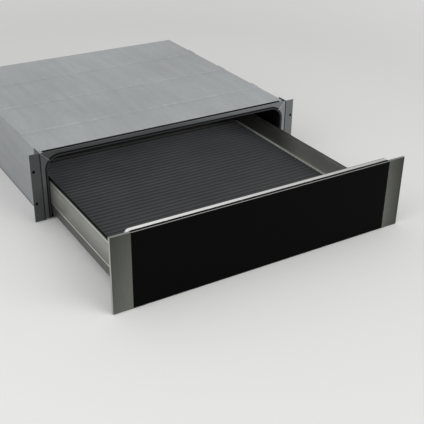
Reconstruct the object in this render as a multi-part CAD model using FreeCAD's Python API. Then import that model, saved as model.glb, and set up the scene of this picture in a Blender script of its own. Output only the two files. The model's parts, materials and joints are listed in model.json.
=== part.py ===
"""Built-in warming drawer for a 560 mm wide, 140 mm high niche, drawn with the drawer pulled out.

Units are millimetres.  X runs to the right, Y to the back and Z up.  The origin is the centre of
the casing's underside.  Each function makes one piece, or the pieces of one kind, and main()
writes one STEP file per piece to parts/.
"""
import FreeCAD, Part
import math
import os

V = FreeCAD.Vector

# Driving dimensions ------------------------------------------------------------------------------
FRONT_WIDTH = 594.0
FRONT_HEIGHT = 140.0
FRONT_CLEARANCE = 1.0        # the front's lower edge above the niche floor
BODY_WIDTH = 554.0
BODY_HEIGHT = 138.0
BODY_DEPTH = 524.0
CLOSED_GAP = 19.0            # front face to mounting plane, drawer shut
OPEN_AT_REST = 326.0         # how far the drawer is pulled out here
SHEET = 1.0                  # casing steel

# Casing front
OPENING_HALF = 267.0
OPENING_TOP = 130.0
OPENING_CORNER = 28.0
FRAME_TOP = 140.0
FRAME_SHEET = 1.5
FRAME_RETURN = 12.0
SEAL_WIDTH = 2.8
SEAL_PROUD = 1.5
FLANGE_OUTER = 297.0
SCREW_X = 291.3
SCREW_LOW = 39.0
SCREW_HIGH = 105.0
SCREW_HOLE_R = 2.5

# Drawer
STRIP_WIDTH = 36.0
STRIP_DEPTH = 5.0
GLASS_THICK = 4.0
CARRIER_SHEET = 0.8
INNER_FRONT_NEAR = 6.6       # inner front, measured back from the front face
INNER_FRONT_FAR = 16.6
INNER_FRONT_HALF = 265.0
INNER_FRONT_CORNER = 7.0
DRAWER_LENGTH = 516.0
DRAWER_HALF = 263.0
WALL_TOP = 80.0
SKIN_SHEET = 0.8
ROLL_WIDTH = 4.9             # rolled top rim of the skin, between the sheet's middle lines
ROLL_DEPTH = 4.4
ROLL_BEND = 1.8
TRAY_HALF = 257.2
TRAY_FLOOR = 38.0
TRAY_TOP = 77.5
TRAY_LENGTH = 491.0
TRAY_CORNER = 12.0
LEDGE_WIDTH = 6.6            # raised border of the tray round the heated plate
LEDGE_TOP = 44.6
WELL_CORNER = 3.0
PLATE_THICK = 4.0
PLATE_GAP = 0.6              # heated plate and mat, clear of the border all round
MAT_GAP = 1.0
MAT_BASE = 2.0
RIB_PITCH = 12.2
RIB_GROOVE = 1.4
RIB_HEIGHT = 1.0
PAN_HALF = 244.8             # underside pan, outside
PAN_BOTTOM = 9.0

# Telescopic ball slide.  Its section is drawn in u, from the casing side towards the drawer side,
# and w, up from mid-height.
SLIDE_LENGTH = 450.0
SLIDE_SETBACK = 22.0         # front end of the slide behind the drawer's face
SLIDE_DEPTH = 12.7
SLIDE_MIDDLE_Z = 17.4
RACE_SLOPE = math.radians(35.0)
BALL_R = 1.3
BALL_PLAY = 0.05
OUTER_BALL_U = 4.6
OUTER_BALL_W = 10.2
BALL_ROW_SHIFT = 3.4         # outer row to inner row, across the slide
OUTER_SHEET = 1.1
MIDDLE_SHEET = 1.0
INNER_SHEET = 1.1
CAGE_SHEET = 0.3
CAGE_LENGTH = 170.0
BALLS_PER_ROW = 3

# Push-to-open latch and function knob
PLUNGER_R = 4.0
RUNNING_FIT = 0.05
LATCH_GAP = 0.5              # plunger tip to the shut drawer
KNOB_X = 226.0
KNOB_Z = 108.0
KNOB_R = 13.0
SHAFT_R = 3.0

# Smaller shared sizes and places
SILL_TOP = 3.4
INLET_X = -200.0
INLET_Z = 66.0
INLET_R = 9.0
INLET_BORE_R = 4.5
LATCH_Z = 57.0
LATCH_BORE = 16.0
INNER_FRONT_BOTTOM = 5.0
COVER_TOP = 33.2             # rail cover, upper and lower edge
COVER_BOTTOM = 14.5
HEATER_THICK = 1.0
SCREW_HEAD_R = 3.2
SCREW_HEAD_HEIGHT = 1.8

# Derived places ----------------------------------------------------------------------------------
FACE_Y = -BODY_DEPTH / 2                       # mounting plane
BACK_Y = BODY_DEPTH / 2
FRONT_Y = FACE_Y - CLOSED_GAP - OPEN_AT_REST   # front face at rest
FRONT_TOP = FRONT_CLEARANCE + FRONT_HEIGHT
BODY_HALF = BODY_WIDTH / 2
GLASS_HALF = FRONT_WIDTH / 2 - STRIP_WIDTH
TRAY_Y = FRONT_Y + INNER_FRONT_FAR
PLATE_TOP = TRAY_FLOOR + SHEET + PLATE_THICK
SHUT_BACK_Y = FACE_Y - CLOSED_GAP + DRAWER_LENGTH
RAIL_Y = FACE_Y - CLOSED_GAP + SLIDE_SETBACK   # front end of the fixed rails
LATCH_FRONT_Y = BACK_Y - 17.7
BRACKET_FACE = PAN_HALF + SLIDE_DEPTH
INNER_BALL_U = OUTER_BALL_U + BALL_ROW_SHIFT


# Drawing helpers ---------------------------------------------------------------------------------
def place(plane, a, b, offset=0.0):
    """Point (a, b) of a drawing plane: XZ looks along Y, YZ along X, XY along Z."""
    if plane == "XZ":
        return V(a, offset, b)
    if plane == "YZ":
        return V(offset, a, b)
    return V(a, b, offset)


def normal(plane):
    return {"XZ": V(0, 1, 0), "YZ": V(1, 0, 0), "XY": V(0, 0, 1)}[plane]


def prism(plane, points, start, end):
    """Straight prism over a closed polygon of (a, b) points."""
    corners = [place(plane, a, b, start) for a, b in points]
    face = Part.Face(Part.makePolygon(corners + [corners[0]]))
    return face.extrude(normal(plane) * (end - start))


def block(x0, x1, y0, y1, z0, z1):
    return Part.makeBox(x1 - x0, y1 - y0, z1 - z0, V(x0, y0, z0))


def rod(radius, length, base, direction):
    return Part.makeCylinder(radius, length, base, direction)


def flat_sided(flats, radius, length, base, direction):
    """Regular bar with the given number of flats; radius is to the corners."""
    side = V(0, 0, 1) if abs(direction.z) < 0.5 else V(1, 0, 0)
    rim = []
    for index in range(flats + 1):
        turn = FreeCAD.Rotation(direction, 360.0 * index / flats)
        rim.append(base + turn.multVec(side) * radius)
    return Part.Face(Part.makePolygon(rim)).extrude(direction * length)


def mirrored(shape):
    """The same piece for the other side of the drawer."""
    return shape.mirror(V(0, 0, 0), V(1, 0, 0))


def rounded_prism(plane, a0, a1, b0, b1, radii, start, end):
    """Rectangle a0..a1 by b0..b1 with a radius for each corner, from low-low anticlockwise."""
    low_low, high_low, high_high, low_high = radii
    corners = [
        (a0, b0, low_low, 1, 1, 180),
        (a1, b0, high_low, -1, 1, 270),
        (a1, b1, high_high, -1, -1, 0),
        (a0, b1, low_high, 1, -1, 90),
    ]
    edges = []
    ends = []
    for a, b, radius, into_a, into_b, start_angle in corners:
        if radius == 0:
            ends.append((place(plane, a, b, start), place(plane, a, b, start)))
            continue
        centre = (a + into_a * radius, b + into_b * radius)
        arc_points = []
        for angle in (start_angle, start_angle + 45, start_angle + 90):
            turn = math.radians(angle)
            along = centre[0] + radius * math.cos(turn)
            across = centre[1] + radius * math.sin(turn)
            arc_points.append(place(plane, along, across, start))
        edges.append(Part.Arc(*arc_points).toShape())
        ends.append((arc_points[0], arc_points[2]))
    for index in range(4):
        leave = ends[index][1]
        arrive = ends[(index + 1) % 4][0]
        if leave.distanceToPoint(arrive) > 1e-6:
            edges.append(Part.makeLine(leave, arrive))
    wire = Part.Wire(Part.__sortEdges__(edges))
    return Part.Face(wire).extrude(normal(plane) * (end - start))


def folded_sheet(plane, path, thickness, bend, start, end):
    """Sheet whose middle line follows path, with inside bend radius bend, run from start to end.

    With bend 0 the folds are sharp and mitred.
    """
    half = thickness / 2
    sides = {1: [], -1: []}
    count = len(path)
    for index, (a, b) in enumerate(path):
        before = unit(path[index - 1], path[index]) if index > 0 else None
        after = unit(path[index], path[index + 1]) if index < count - 1 else None
        if before is None or after is None:
            along = after or before
            for side in sides:
                sides[side].append([(a - side * half * along[1], b + side * half * along[0])])
            continue
        turn = math.atan2(before[0] * after[1] - before[1] * after[0],
                          before[0] * after[0] + before[1] * after[1])
        bisector = (-(before[1] + after[1]), before[0] + after[0])
        size = math.hypot(*bisector)
        bisector = (bisector[0] / size, bisector[1] / size)
        if bend == 0:
            reach = half / math.cos(turn / 2)
            for side in sides:
                sides[side].append([(a + side * reach * bisector[0], b + side * reach * bisector[1])])
            continue
        middle_radius = bend + half
        cut = middle_radius * math.tan(abs(turn) / 2)
        inward = 1 if turn > 0 else -1
        centre_reach = middle_radius / math.cos(turn / 2)
        centre = (a + inward * centre_reach * bisector[0], b + inward * centre_reach * bisector[1])
        for side in sides:
            radius = middle_radius - inward * side * half
            first = (a - cut * before[0] - side * half * before[1],
                     b - cut * before[1] + side * half * before[0])
            crown = (centre[0] - inward * radius * bisector[0], centre[1] - inward * radius * bisector[1])
            last = (a + cut * after[0] - side * half * after[1],
                    b + cut * after[1] + side * half * after[0])
            sides[side].append([first, crown, last])
    edges = edges_along(plane, sides[1], start)
    edges += edges_along(plane, sides[-1], start)
    for index in (0, -1):
        edges.append(Part.makeLine(place(plane, *sides[1][index][0], start),
                                   place(plane, *sides[-1][index][0], start)))
    wire = Part.Wire(Part.__sortEdges__(edges))
    return Part.Face(wire).extrude(normal(plane) * (end - start))


def unit(first, second):
    size = math.hypot(second[0] - first[0], second[1] - first[1])
    return ((second[0] - first[0]) / size, (second[1] - first[1]) / size)


def edges_along(plane, stations, offset):
    """Lines between stations, and an arc through each station that has three points."""
    edges = []
    previous = None
    for station in stations:
        points = [place(plane, a, b, offset) for a, b in station]
        if previous is not None:
            edges.append(Part.makeLine(previous, points[0]))
        if len(points) == 3:
            edges.append(Part.Arc(*points).toShape())
        previous = points[-1]
    return edges


def loop_at(shape, axis, level):
    """Edges that lie wholly in the plane where the axis has the given level."""
    found = []
    for edge in shape.Edges:
        low = getattr(edge.BoundBox, axis + "Min")
        high = getattr(edge.BoundBox, axis + "Max")
        if abs(low - level) < 0.01 and abs(high - level) < 0.01:
            found.append(edge)
    return found


def slot(plane, a0, a1, b0, b1, start, end):
    """Cutter for a vent slot: a rectangle whose corners are cut off at 45 degrees."""
    cut = 0.3 * min(a1 - a0, b1 - b0)
    points = [(a0 + cut, b0), (a1 - cut, b0), (a1, b0 + cut), (a1, b1 - cut),
              (a1 - cut, b1), (a0 + cut, b1), (a0, b1 - cut), (a0, b0 + cut)]
    return prism(plane, points, start, end)


def row(start, pitch, count):
    return [start + pitch * index for index in range(count)]


def save(name, shapes):
    """Write one node: a single solid, or a list of like solids as one group."""
    shape = shapes if not isinstance(shapes, list) else Part.makeCompound(shapes)
    for solid in shape.Solids:
        if not solid.isValid():
            raise ValueError(name + " is not a valid solid")
    shape.exportStep(os.path.join("parts", name + ".step"))


# Casing ------------------------------------------------------------------------------------------
def base_plate():
    """Bottom of the casing: flat plate with a low front sill, a rear upstand and two long beads."""
    path = [(FACE_Y + 0.5, 3.2), (FACE_Y + 0.5, 0.5), (BACK_Y - 1.6, 0.5), (BACK_Y - 1.6, 14.0)]
    plate = folded_sheet("YZ", path, SHEET, 0.6, -BODY_HALF, BODY_HALF)
    for x in (-120.0, 120.0):
        bead = folded_sheet("XZ", [(x - 14, 1.2), (x - 9, 2.9), (x + 9, 2.9), (x + 14, 1.2)],
                            0.6, 0, FACE_Y + 60, BACK_Y - 60)
        plate = plate.fuse(bead)
    for side in (-1, 1):
        x = side * BODY_HALF
        near, far = sorted((x, x - side * 16))
        plate = plate.cut(block(near, far, BACK_Y - 5, BACK_Y, SHEET, 20))
    return plate.removeSplitter()


def side_wall():
    """Right side of the casing: C-section sheet with a row of upright vent slots at the back."""
    path = [(OPENING_HALF + 1, BODY_HEIGHT - 1.5), (BODY_HALF - 0.5, BODY_HEIGHT - 1.5),
            (BODY_HALF - 0.5, 1.5), (OPENING_HALF - 4, 1.5)]
    wall = folded_sheet("XZ", path, SHEET, 1.0, FACE_Y + 2.0, BACK_Y - SHEET)
    for y in row(BACK_Y - 130, 14.0, 6):
        wall = wall.cut(slot("YZ", y, y + 4, 84, 116, BODY_HALF - 2, BODY_HALF + 1))
    return wall


def rear_wall():
    """Back of the casing: flanged sheet with louvre slots and the hole for the supply inlet."""
    wall = block(-BODY_HALF, BODY_HALF, BACK_Y - SHEET, BACK_Y, 1.2, BODY_HEIGHT - 1)
    for x in (-BODY_HALF + SHEET, BODY_HALF - 2 * SHEET):
        wall = wall.fuse(block(x, x + SHEET, BACK_Y - 12, BACK_Y - SHEET, 16, BODY_HEIGHT - 4))
    wall = wall.cut(rod(INLET_R, 4, V(INLET_X, BACK_Y - 2, INLET_Z), V(0, 1, 0)))
    for x in row(90.0, 16.0, 9):
        wall = wall.cut(slot("XZ", x, x + 5, 92, 116, BACK_Y - 2, BACK_Y + 1))
    return wall.removeSplitter()


def top_cover():
    """Lid of the casing: sheet with three pressed stiffening beads and turned-down edges."""
    level = BODY_HEIGHT - 0.5
    path = [(FACE_Y + 14, level)]
    for y in (FACE_Y + 120, 0.0, BACK_Y - 120):
        path += [(y - 16, level), (y - 13, level + 1.8), (y + 13, level + 1.8), (y + 16, level)]
    path += [(BACK_Y - 0.6, level)]
    return folded_sheet("YZ", path, SHEET, 0, -BODY_HALF, BODY_HALF)


def frame_ring():
    """Front frame before it is cut into rail and posts: face, opening return and outer return."""
    outer = BODY_HALF - SHEET
    inside = rounded_prism("XZ", -OPENING_HALF, OPENING_HALF, -10, OPENING_TOP,
                           (0, 0, OPENING_CORNER, OPENING_CORNER), FACE_Y - 1, FACE_Y + 30)
    collar = rounded_prism("XZ", -OPENING_HALF - 1.2, OPENING_HALF + 1.2, SILL_TOP, OPENING_TOP + 1.2,
                           (0, 0, OPENING_CORNER + 1.2, OPENING_CORNER + 1.2),
                           FACE_Y, FACE_Y + FRAME_RETURN)
    face = block(-outer, outer, FACE_Y, FACE_Y + FRAME_SHEET, SILL_TOP, FRAME_TOP)
    ring = face.fuse(collar)
    for x in (-outer, outer - 1.2):
        ring = ring.fuse(block(x, x + 1.2, FACE_Y, FACE_Y + FRAME_RETURN, SILL_TOP, FRAME_TOP - 6))
    return ring.cut(inside).removeSplitter()


def front_frame():
    """The frame's three members, mitred at the top corners with a hairline gap."""
    outer = BODY_HALF - SHEET
    ring = frame_ring()
    reach = 60.0
    gap = 0.15
    members = {}
    wedge = [(-outer - reach + gap, FRAME_TOP + reach), (-outer + reach + gap, FRAME_TOP - reach),
             (outer - reach - gap, FRAME_TOP - reach), (outer + reach - gap, FRAME_TOP + reach)]
    members["frame_top_rail"] = ring.common(prism("XZ", wedge, FACE_Y - 2, FACE_Y + 40))
    post = [(outer - reach + gap, FRAME_TOP - reach), (outer + gap, FRAME_TOP), (outer + 20, FRAME_TOP),
            (outer + 20, -5), (OPENING_HALF - 40, -5)]
    right = ring.common(prism("XZ", post, FACE_Y - 2, FACE_Y + 40))
    members["frame_right_post"] = right
    members["frame_left_post"] = mirrored(right)
    return members


def mounting_flange():
    """Right flange that is screwed to the niche's side panel: an angle with two screw holes."""
    path = [(FLANGE_OUTER, FACE_Y + 0.75), (BODY_HALF + 0.75, FACE_Y + 0.75),
            (BODY_HALF + 0.75, FACE_Y + 26)]
    flange = folded_sheet("XY", path, FRAME_SHEET, 0, FRONT_CLEARANCE, FRAME_TOP)
    for z in (SCREW_LOW, SCREW_HIGH):
        flange = flange.cut(rod(SCREW_HOLE_R, 6, V(SCREW_X, FACE_Y - 2, z), V(0, 1, 0)))
    return flange


def opening_seal():
    """Rubber seal around the sides and top of the opening, with a rounded nose."""
    nose = FACE_Y - SEAL_PROUD
    tail = FACE_Y + 7.0
    seam = 0.1
    outer = OPENING_HALF - seam
    corner = OPENING_CORNER - seam
    inner = outer - SEAL_WIDTH
    top = OPENING_TOP - seam
    ring = rounded_prism("XZ", -outer, outer, SILL_TOP, top, (0, 0, corner, corner), nose, tail)
    void = rounded_prism("XZ", -inner, inner, -10, top - SEAL_WIDTH,
                         (0, 0, corner - SEAL_WIDTH, corner - SEAL_WIDTH), nose - 1, tail + 1)
    ring = ring.cut(void)
    long_edges = [edge for edge in loop_at(ring, "Y", nose) if edge.Length > SEAL_WIDTH + 0.5]
    return ring.makeChamfer(0.9, long_edges)


def terminal_box():
    """Mains connection box on the inside of the rear wall, with two screw lugs."""
    x0 = INLET_X - 32
    front = BACK_Y - 25
    box = block(x0, x0 + 64, front, BACK_Y - SHEET, 44, 88)
    box = box.makeChamfer(2.0, loop_at(box, "Y", front))
    box = box.cut(block(x0 + 2, x0 + 62, front + 2, BACK_Y, 46, 86))
    for x in (x0 - 7, x0 + 64):
        box = box.fuse(block(x, x + 7, BACK_Y - 5, BACK_Y - SHEET, 58, 72))
    return box.removeSplitter()


def supply_inlet():
    """Gland that the supply lead would pass through: hexagonal collar outside, barrel inside."""
    axis = V(0, 1, 0)
    inlet = rod(INLET_R - 0.1, 12, V(INLET_X, BACK_Y - 9, INLET_Z), axis)
    inlet = inlet.fuse(flat_sided(6, INLET_R + 4, 4, V(INLET_X, BACK_Y, INLET_Z), axis))
    return inlet.cut(rod(INLET_BORE_R, 30, V(INLET_X, BACK_Y - 15, INLET_Z), axis)).removeSplitter()


def latch_housing():
    """Body of the push-to-open latch on the rear wall, bored for its plunger."""
    housing = block(-20, 20, LATCH_FRONT_Y, BACK_Y - SHEET, LATCH_Z - 13, LATCH_Z + 13)
    bore = rod(PLUNGER_R + RUNNING_FIT, LATCH_BORE, V(0, LATCH_FRONT_Y - 1, LATCH_Z), V(0, 1, 0))
    housing = housing.cut(bore)
    for x in (-32, 20):
        housing = housing.fuse(block(x, x + 12, BACK_Y - 4, BACK_Y - SHEET, LATCH_Z - 7, LATCH_Z + 7))
    return housing.removeSplitter()


def latch_plunger():
    """Sprung plunger with a round head; its tip stands just behind the shut drawer."""
    tip = SHUT_BACK_Y + LATCH_GAP
    stem = rod(PLUNGER_R, LATCH_FRONT_Y + LATCH_BORE - 7 - tip, V(0, tip, LATCH_Z), V(0, 1, 0))
    head = flat_sided(12, 7.0, 4.0, V(0, tip, LATCH_Z), V(0, 1, 0))
    return head.fuse(stem).removeSplitter()


def door_switch():
    """Microswitch that cuts the heating while the drawer is out, with its bent lever."""
    body = block(52, 72, BACK_Y - 17, BACK_Y - SHEET, LATCH_Z - 6, LATCH_Z + 6)
    lever = folded_sheet("XY", [(53, BACK_Y - 17.2), (70, BACK_Y - 22), (73, BACK_Y - 20)],
                         0.5, 0, LATCH_Z - 3, LATCH_Z + 3)
    return body.fuse(lever).removeSplitter()


# Telescopic slides -------------------------------------------------------------------------------
def race_reach(thickness):
    """Distance from a ball's centre to the fold line of the sheet that it rolls in."""
    return (BALL_R + BALL_PLAY + thickness / 2) / math.cos(RACE_SLOPE)


def to_place(u, w):
    """Slide section (u, w) at the right-hand slide."""
    return (BRACKET_FACE - u, SLIDE_MIDDLE_Z + w)


def slide_member(half_path, thickness, y0):
    """Rolled steel member: the upper half's middle line, mirrored to the lower half."""
    upper = [to_place(u, w) for u, w in reversed(half_path)]
    lower = [to_place(u, -w) for u, w in half_path]
    return folded_sheet("XZ", upper + lower, thickness, 0, y0, y0 + SLIDE_LENGTH)


def outer_rail(y0):
    """Fixed member: web on the bracket, each edge folded to a roof over its ball row."""
    web = OUTER_SHEET / 2
    slope = math.tan(RACE_SLOPE)
    peak = OUTER_BALL_W + race_reach(OUTER_SHEET)
    half_path = [(web, peak - (OUTER_BALL_U - web) * slope),
                 (OUTER_BALL_U, peak),
                 (OUTER_BALL_U + 2.0, peak - 2.0 * slope)]
    return slide_member(half_path, OUTER_SHEET, y0)


def middle_rail(y0):
    """Middle member: each edge folded to a groove for the outer row and a roof for the inner."""
    slope = math.tan(RACE_SLOPE)
    groove = OUTER_BALL_W - race_reach(MIDDLE_SHEET)
    peak = groove + BALL_ROW_SHIFT * slope
    half_path = [(2.6, groove + 0.3),
                 (OUTER_BALL_U - 1.5, groove + 1.5 * slope),
                 (OUTER_BALL_U, groove),
                 (INNER_BALL_U, peak),
                 (INNER_BALL_U + 1.6, peak - 1.6 * slope)]
    return slide_member(half_path, MIDDLE_SHEET, y0)


def inner_ball_w():
    peak = OUTER_BALL_W - race_reach(MIDDLE_SHEET) + BALL_ROW_SHIFT * math.tan(RACE_SLOPE)
    return peak - race_reach(MIDDLE_SHEET)


def inner_rail(y0):
    """Drawer member: web on the underside pan, each edge folded to a groove."""
    web = SLIDE_DEPTH - INNER_SHEET / 2
    slope = math.tan(RACE_SLOPE)
    groove = inner_ball_w() - race_reach(INNER_SHEET)
    half_path = [(web, groove + (web - INNER_BALL_U) * slope),
                 (INNER_BALL_U, groove),
                 (INNER_BALL_U - 1.6, groove + 1.6 * slope)]
    return slide_member(half_path, INNER_SHEET, y0)


def ball(u, w, y):
    """Steel ball, drawn with eight meridians and four bands of flat faces to stay light."""
    x, z = to_place(u, w)
    meridians = 8
    rings = []
    for band in range(5):
        polar = math.pi * band / 4
        ring = []
        for step in range(meridians):
            turn = 2 * math.pi * step / meridians
            radius = BALL_R * math.sin(polar)
            ring.append(V(x + radius * math.cos(turn), y - BALL_R * math.cos(polar),
                          z + radius * math.sin(turn)))
        rings.append(ring)
    faces = []
    for near, far in zip(rings, rings[1:]):
        for step in range(meridians):
            after = (step + 1) % meridians
            corners = [near[step], near[after], far[after], far[step]]
            if near is rings[0]:
                corners = [near[0], far[after], far[step]]
            elif far is rings[-1]:
                corners = [near[step], near[after], far[0]]
            faces.append(Part.Face(Part.makePolygon(corners + [corners[0]])))
    return Part.Solid(Part.makeShell(faces))


def ball_cage(ball_u, ball_w, back_u, y0):
    """Ball retainer: a thin U-strip whose lips hold the two rows, and the balls in its pockets."""
    knee_u = ball_u - 1.55
    back_w = ball_w - (knee_u - back_u) * math.tan(RACE_SLOPE)
    half_path = [(ball_u + 0.6, ball_w), (knee_u, ball_w), (back_u, back_w)]
    path = [to_place(u, w) for u, w in half_path] + [to_place(u, -w) for u, w in reversed(half_path)]
    strip = folded_sheet("XZ", path, CAGE_SHEET, 0, y0, y0 + CAGE_LENGTH)
    pitch = (CAGE_LENGTH - 20) / (BALLS_PER_ROW - 1)
    balls = []
    for y in row(y0 + 10, pitch, BALLS_PER_ROW):
        for w in (ball_w, -ball_w):
            x, z = to_place(ball_u, w)
            strip = strip.cut(Part.makeBox(4, 2 * BALL_R + 0.1, 4, V(x - 2, y - BALL_R - 0.05, z - 2)))
            balls.append(ball(ball_u, w, y))
    return [strip] + balls


def rail_bracket():
    """Right angle bracket that stands on the base plate and carries the fixed rail."""
    path = [(PAN_HALF - 8, SHEET + 0.6), (BRACKET_FACE + 0.6, SHEET + 0.6), (BRACKET_FACE + 0.6, 31.0)]
    return folded_sheet("XZ", path, 1.2, 0.8, RAIL_Y, RAIL_Y + SLIDE_LENGTH + 20)


# Drawer front ------------------------------------------------------------------------------------
def front_glass():
    """Black front glass with ground edges."""
    glass = block(-GLASS_HALF + 0.2, GLASS_HALF - 0.2, FRONT_Y, FRONT_Y + GLASS_THICK,
                  FRONT_CLEARANCE + CARRIER_SHEET, FRONT_TOP)
    return glass.makeChamfer(0.4, loop_at(glass, "Y", FRONT_Y))


def front_strip():
    """Right side strip of the front: a shallow brushed steel pan, its outer edge rolled."""
    x0 = GLASS_HALF
    x1 = FRONT_WIDTH / 2
    pan = block(x0, x1, FRONT_Y, FRONT_Y + STRIP_DEPTH, FRONT_CLEARANCE, FRONT_TOP)
    outer = [edge for edge in loop_at(pan, "Y", FRONT_Y) if edge.BoundBox.XMin > x1 - 0.1]
    pan = pan.makeFillet(0.9, outer)
    hollow = block(x0 + 1, x1 - 1, FRONT_Y + 1, FRONT_Y + 20, FRONT_CLEARANCE + 1, FRONT_TOP - 1)
    inner_edge = block(x0 - 1, x0 + 2, FRONT_Y + GLASS_THICK, FRONT_Y + 20, -5, FRONT_TOP + 5)
    return pan.cut(hollow).cut(inner_edge)


def front_carrier():
    """Sheet that holds glass and strips: wings in the strips, and a lip that the glass stands on."""
    near = FRONT_Y + GLASS_THICK
    far = near + CARRIER_SHEET
    plate = block(-FRONT_WIDTH / 2 + 1.1, FRONT_WIDTH / 2 - 1.1, near, far,
                  FRONT_CLEARANCE + 1.1, FRONT_TOP - 1.1)
    plate = plate.cut(block(-GLASS_HALF, GLASS_HALF, near - 1, far + 1, FRONT_TOP - 6, FRONT_TOP))
    lip = block(-GLASS_HALF + 0.1, GLASS_HALF - 0.1, FRONT_Y + 0.3, far,
                FRONT_CLEARANCE, FRONT_CLEARANCE + CARRIER_SHEET)
    web = block(-GLASS_HALF + 0.1, GLASS_HALF - 0.1, near, far,
                FRONT_CLEARANCE, FRONT_CLEARANCE + 2)
    return plate.fuse(lip).fuse(web).removeSplitter()


def front_spacer():
    """Black plastic spacer between front and inner front, set back from every edge."""
    return block(-252, 252, FRONT_Y + GLASS_THICK + CARRIER_SHEET, FRONT_Y + INNER_FRONT_NEAR,
                 FRONT_CLEARANCE + 8, FRONT_TOP - 8)


def inner_front():
    """Stainless inner front: a deep pan, open towards the glass, with round top corners."""
    near = FRONT_Y + INNER_FRONT_NEAR
    far = FRONT_Y + INNER_FRONT_FAR
    half = INNER_FRONT_HALF
    corner = INNER_FRONT_CORNER
    pan = rounded_prism("XZ", -half, half, INNER_FRONT_BOTTOM, FRONT_TOP,
                        (0, 0, corner, corner), near, far)
    pan = pan.makeFillet(1.8, loop_at(pan, "Y", far))
    hollow = rounded_prism("XZ", -half + SHEET, half - SHEET, INNER_FRONT_BOTTOM + SHEET,
                           FRONT_TOP - SHEET, (0, 0, corner - 1, corner - 1), near - 1, far - SHEET)
    pan = pan.cut(hollow)
    return pan.cut(rod(SHAFT_R + RUNNING_FIT, 6, V(KNOB_X, far - 4, KNOB_Z), V(0, 1, 0)))


def selector_switch():
    """Rotary switch behind the inner front's wall, bored for the knob's shaft."""
    near = FRONT_Y + INNER_FRONT_NEAR + 0.3
    far = FRONT_Y + INNER_FRONT_FAR - SHEET
    body = block(KNOB_X - 15, KNOB_X + 15, near, far, KNOB_Z - 15, KNOB_Z + 15)
    return body.cut(rod(SHAFT_R + RUNNING_FIT, 6, V(KNOB_X, far - 5, KNOB_Z), V(0, 1, 0)))


def function_knob():
    """Round function knob with a skirt and a raised pointer, on its shaft."""
    far = FRONT_Y + INNER_FRONT_FAR
    axis = V(0, 1, 0)
    skirt = rod(KNOB_R, 3.0, V(KNOB_X, far + 0.4, KNOB_Z), axis)
    grip = rod(KNOB_R - 2.5, 9.0, V(KNOB_X, far + 3.4, KNOB_Z), axis)
    knob = skirt.fuse(grip)
    knob = knob.fuse(block(KNOB_X - 0.8, KNOB_X + 0.8, far + 12.4, far + 13.2, KNOB_Z + 2, KNOB_Z + 10))
    shaft = rod(SHAFT_R, 5.0, V(KNOB_X, far - 4.5, KNOB_Z), axis)
    return knob.fuse(shaft).removeSplitter()


# Drawer box --------------------------------------------------------------------------------------
def well(clearance):
    """Extents of the well inside the tray's raised border, less a clearance all round."""
    border = SHEET + LEDGE_WIDTH + clearance
    half = TRAY_HALF - border
    return -half, half, TRAY_Y + border, TRAY_Y + TRAY_LENGTH - border


def tray():
    """Deep-drawn stainless tray with round corners; a raised border frames the heated plate."""
    y1 = TRAY_Y + TRAY_LENGTH
    corner = TRAY_CORNER
    outside = rounded_prism("XY", -TRAY_HALF, TRAY_HALF, TRAY_Y, y1, (corner,) * 4,
                            LEDGE_TOP - SHEET, TRAY_TOP)
    outside = outside.fuse(rounded_prism("XY", *well(-SHEET), (WELL_CORNER + SHEET,) * 4,
                                         TRAY_FLOOR, LEDGE_TOP))
    inside = rounded_prism("XY", -TRAY_HALF + SHEET, TRAY_HALF - SHEET, TRAY_Y + SHEET, y1 - SHEET,
                           (corner - SHEET,) * 4, LEDGE_TOP, TRAY_TOP + 1)
    inside = inside.fuse(rounded_prism("XY", *well(0), (WELL_CORNER,) * 4,
                                       TRAY_FLOOR + SHEET, LEDGE_TOP + 1))
    return outside.cut(inside).removeSplitter()


def heated_plate():
    """Tempered glass base plate that the heater warms."""
    z0 = TRAY_FLOOR + SHEET
    return rounded_prism("XY", *well(PLATE_GAP), (WELL_CORNER - PLATE_GAP,) * 4, z0, z0 + PLATE_THICK)


def ribbed_mat():
    """Loose anti-slip mat: a flat sheet with wide arched ribs that run across the drawer."""
    x0, x1, y0, y1 = well(MAT_GAP)
    low = PLATE_TOP + MAT_BASE
    count = int((y1 - y0 - 4) / RIB_PITCH)
    start = (y0 + y1 - count * RIB_PITCH) / 2
    stations = [[(y0, PLATE_TOP)], [(y0, low)]]
    for y in row(start, RIB_PITCH, count):
        stations.append([(y + RIB_GROOVE / 2, low), (y + RIB_PITCH / 2, low + RIB_HEIGHT),
                         (y + RIB_PITCH - RIB_GROOVE / 2, low)])
    stations += [[(y1, low)], [(y1, PLATE_TOP)], [(y0, PLATE_TOP)]]
    outline = Part.Wire(edges_along("YZ", stations, x0))
    return Part.Face(outline).extrude(V(x1 - x0, 0, 0))


def side_skin():
    """Right outer skin of the drawer: brushed sheet with a foot flange and a rolled top rim."""
    x = DRAWER_HALF - SKIN_SHEET / 2
    foot = COVER_TOP + SKIN_SHEET / 2
    top = WALL_TOP - SKIN_SHEET / 2
    path = [(x - 5, foot), (x, foot), (x, top), (x - ROLL_WIDTH, top),
            (x - ROLL_WIDTH, top - ROLL_DEPTH)]
    return folded_sheet("XZ", path, SKIN_SHEET, ROLL_BEND, TRAY_Y, FRONT_Y + DRAWER_LENGTH - SHEET)


def rail_cover():
    """Right lower strip of the drawer side, which hides the slide; it hangs from its top flange."""
    x = DRAWER_HALF
    path = [(PAN_HALF + 0.1, COVER_TOP - 0.5), (x, COVER_TOP - 0.5), (x, COVER_BOTTOM + 0.5),
            (x - 3, COVER_BOTTOM + 0.5)]
    return folded_sheet("XZ", path, 1.0, 0.3, TRAY_Y, FRONT_Y + DRAWER_LENGTH - 6)


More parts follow.
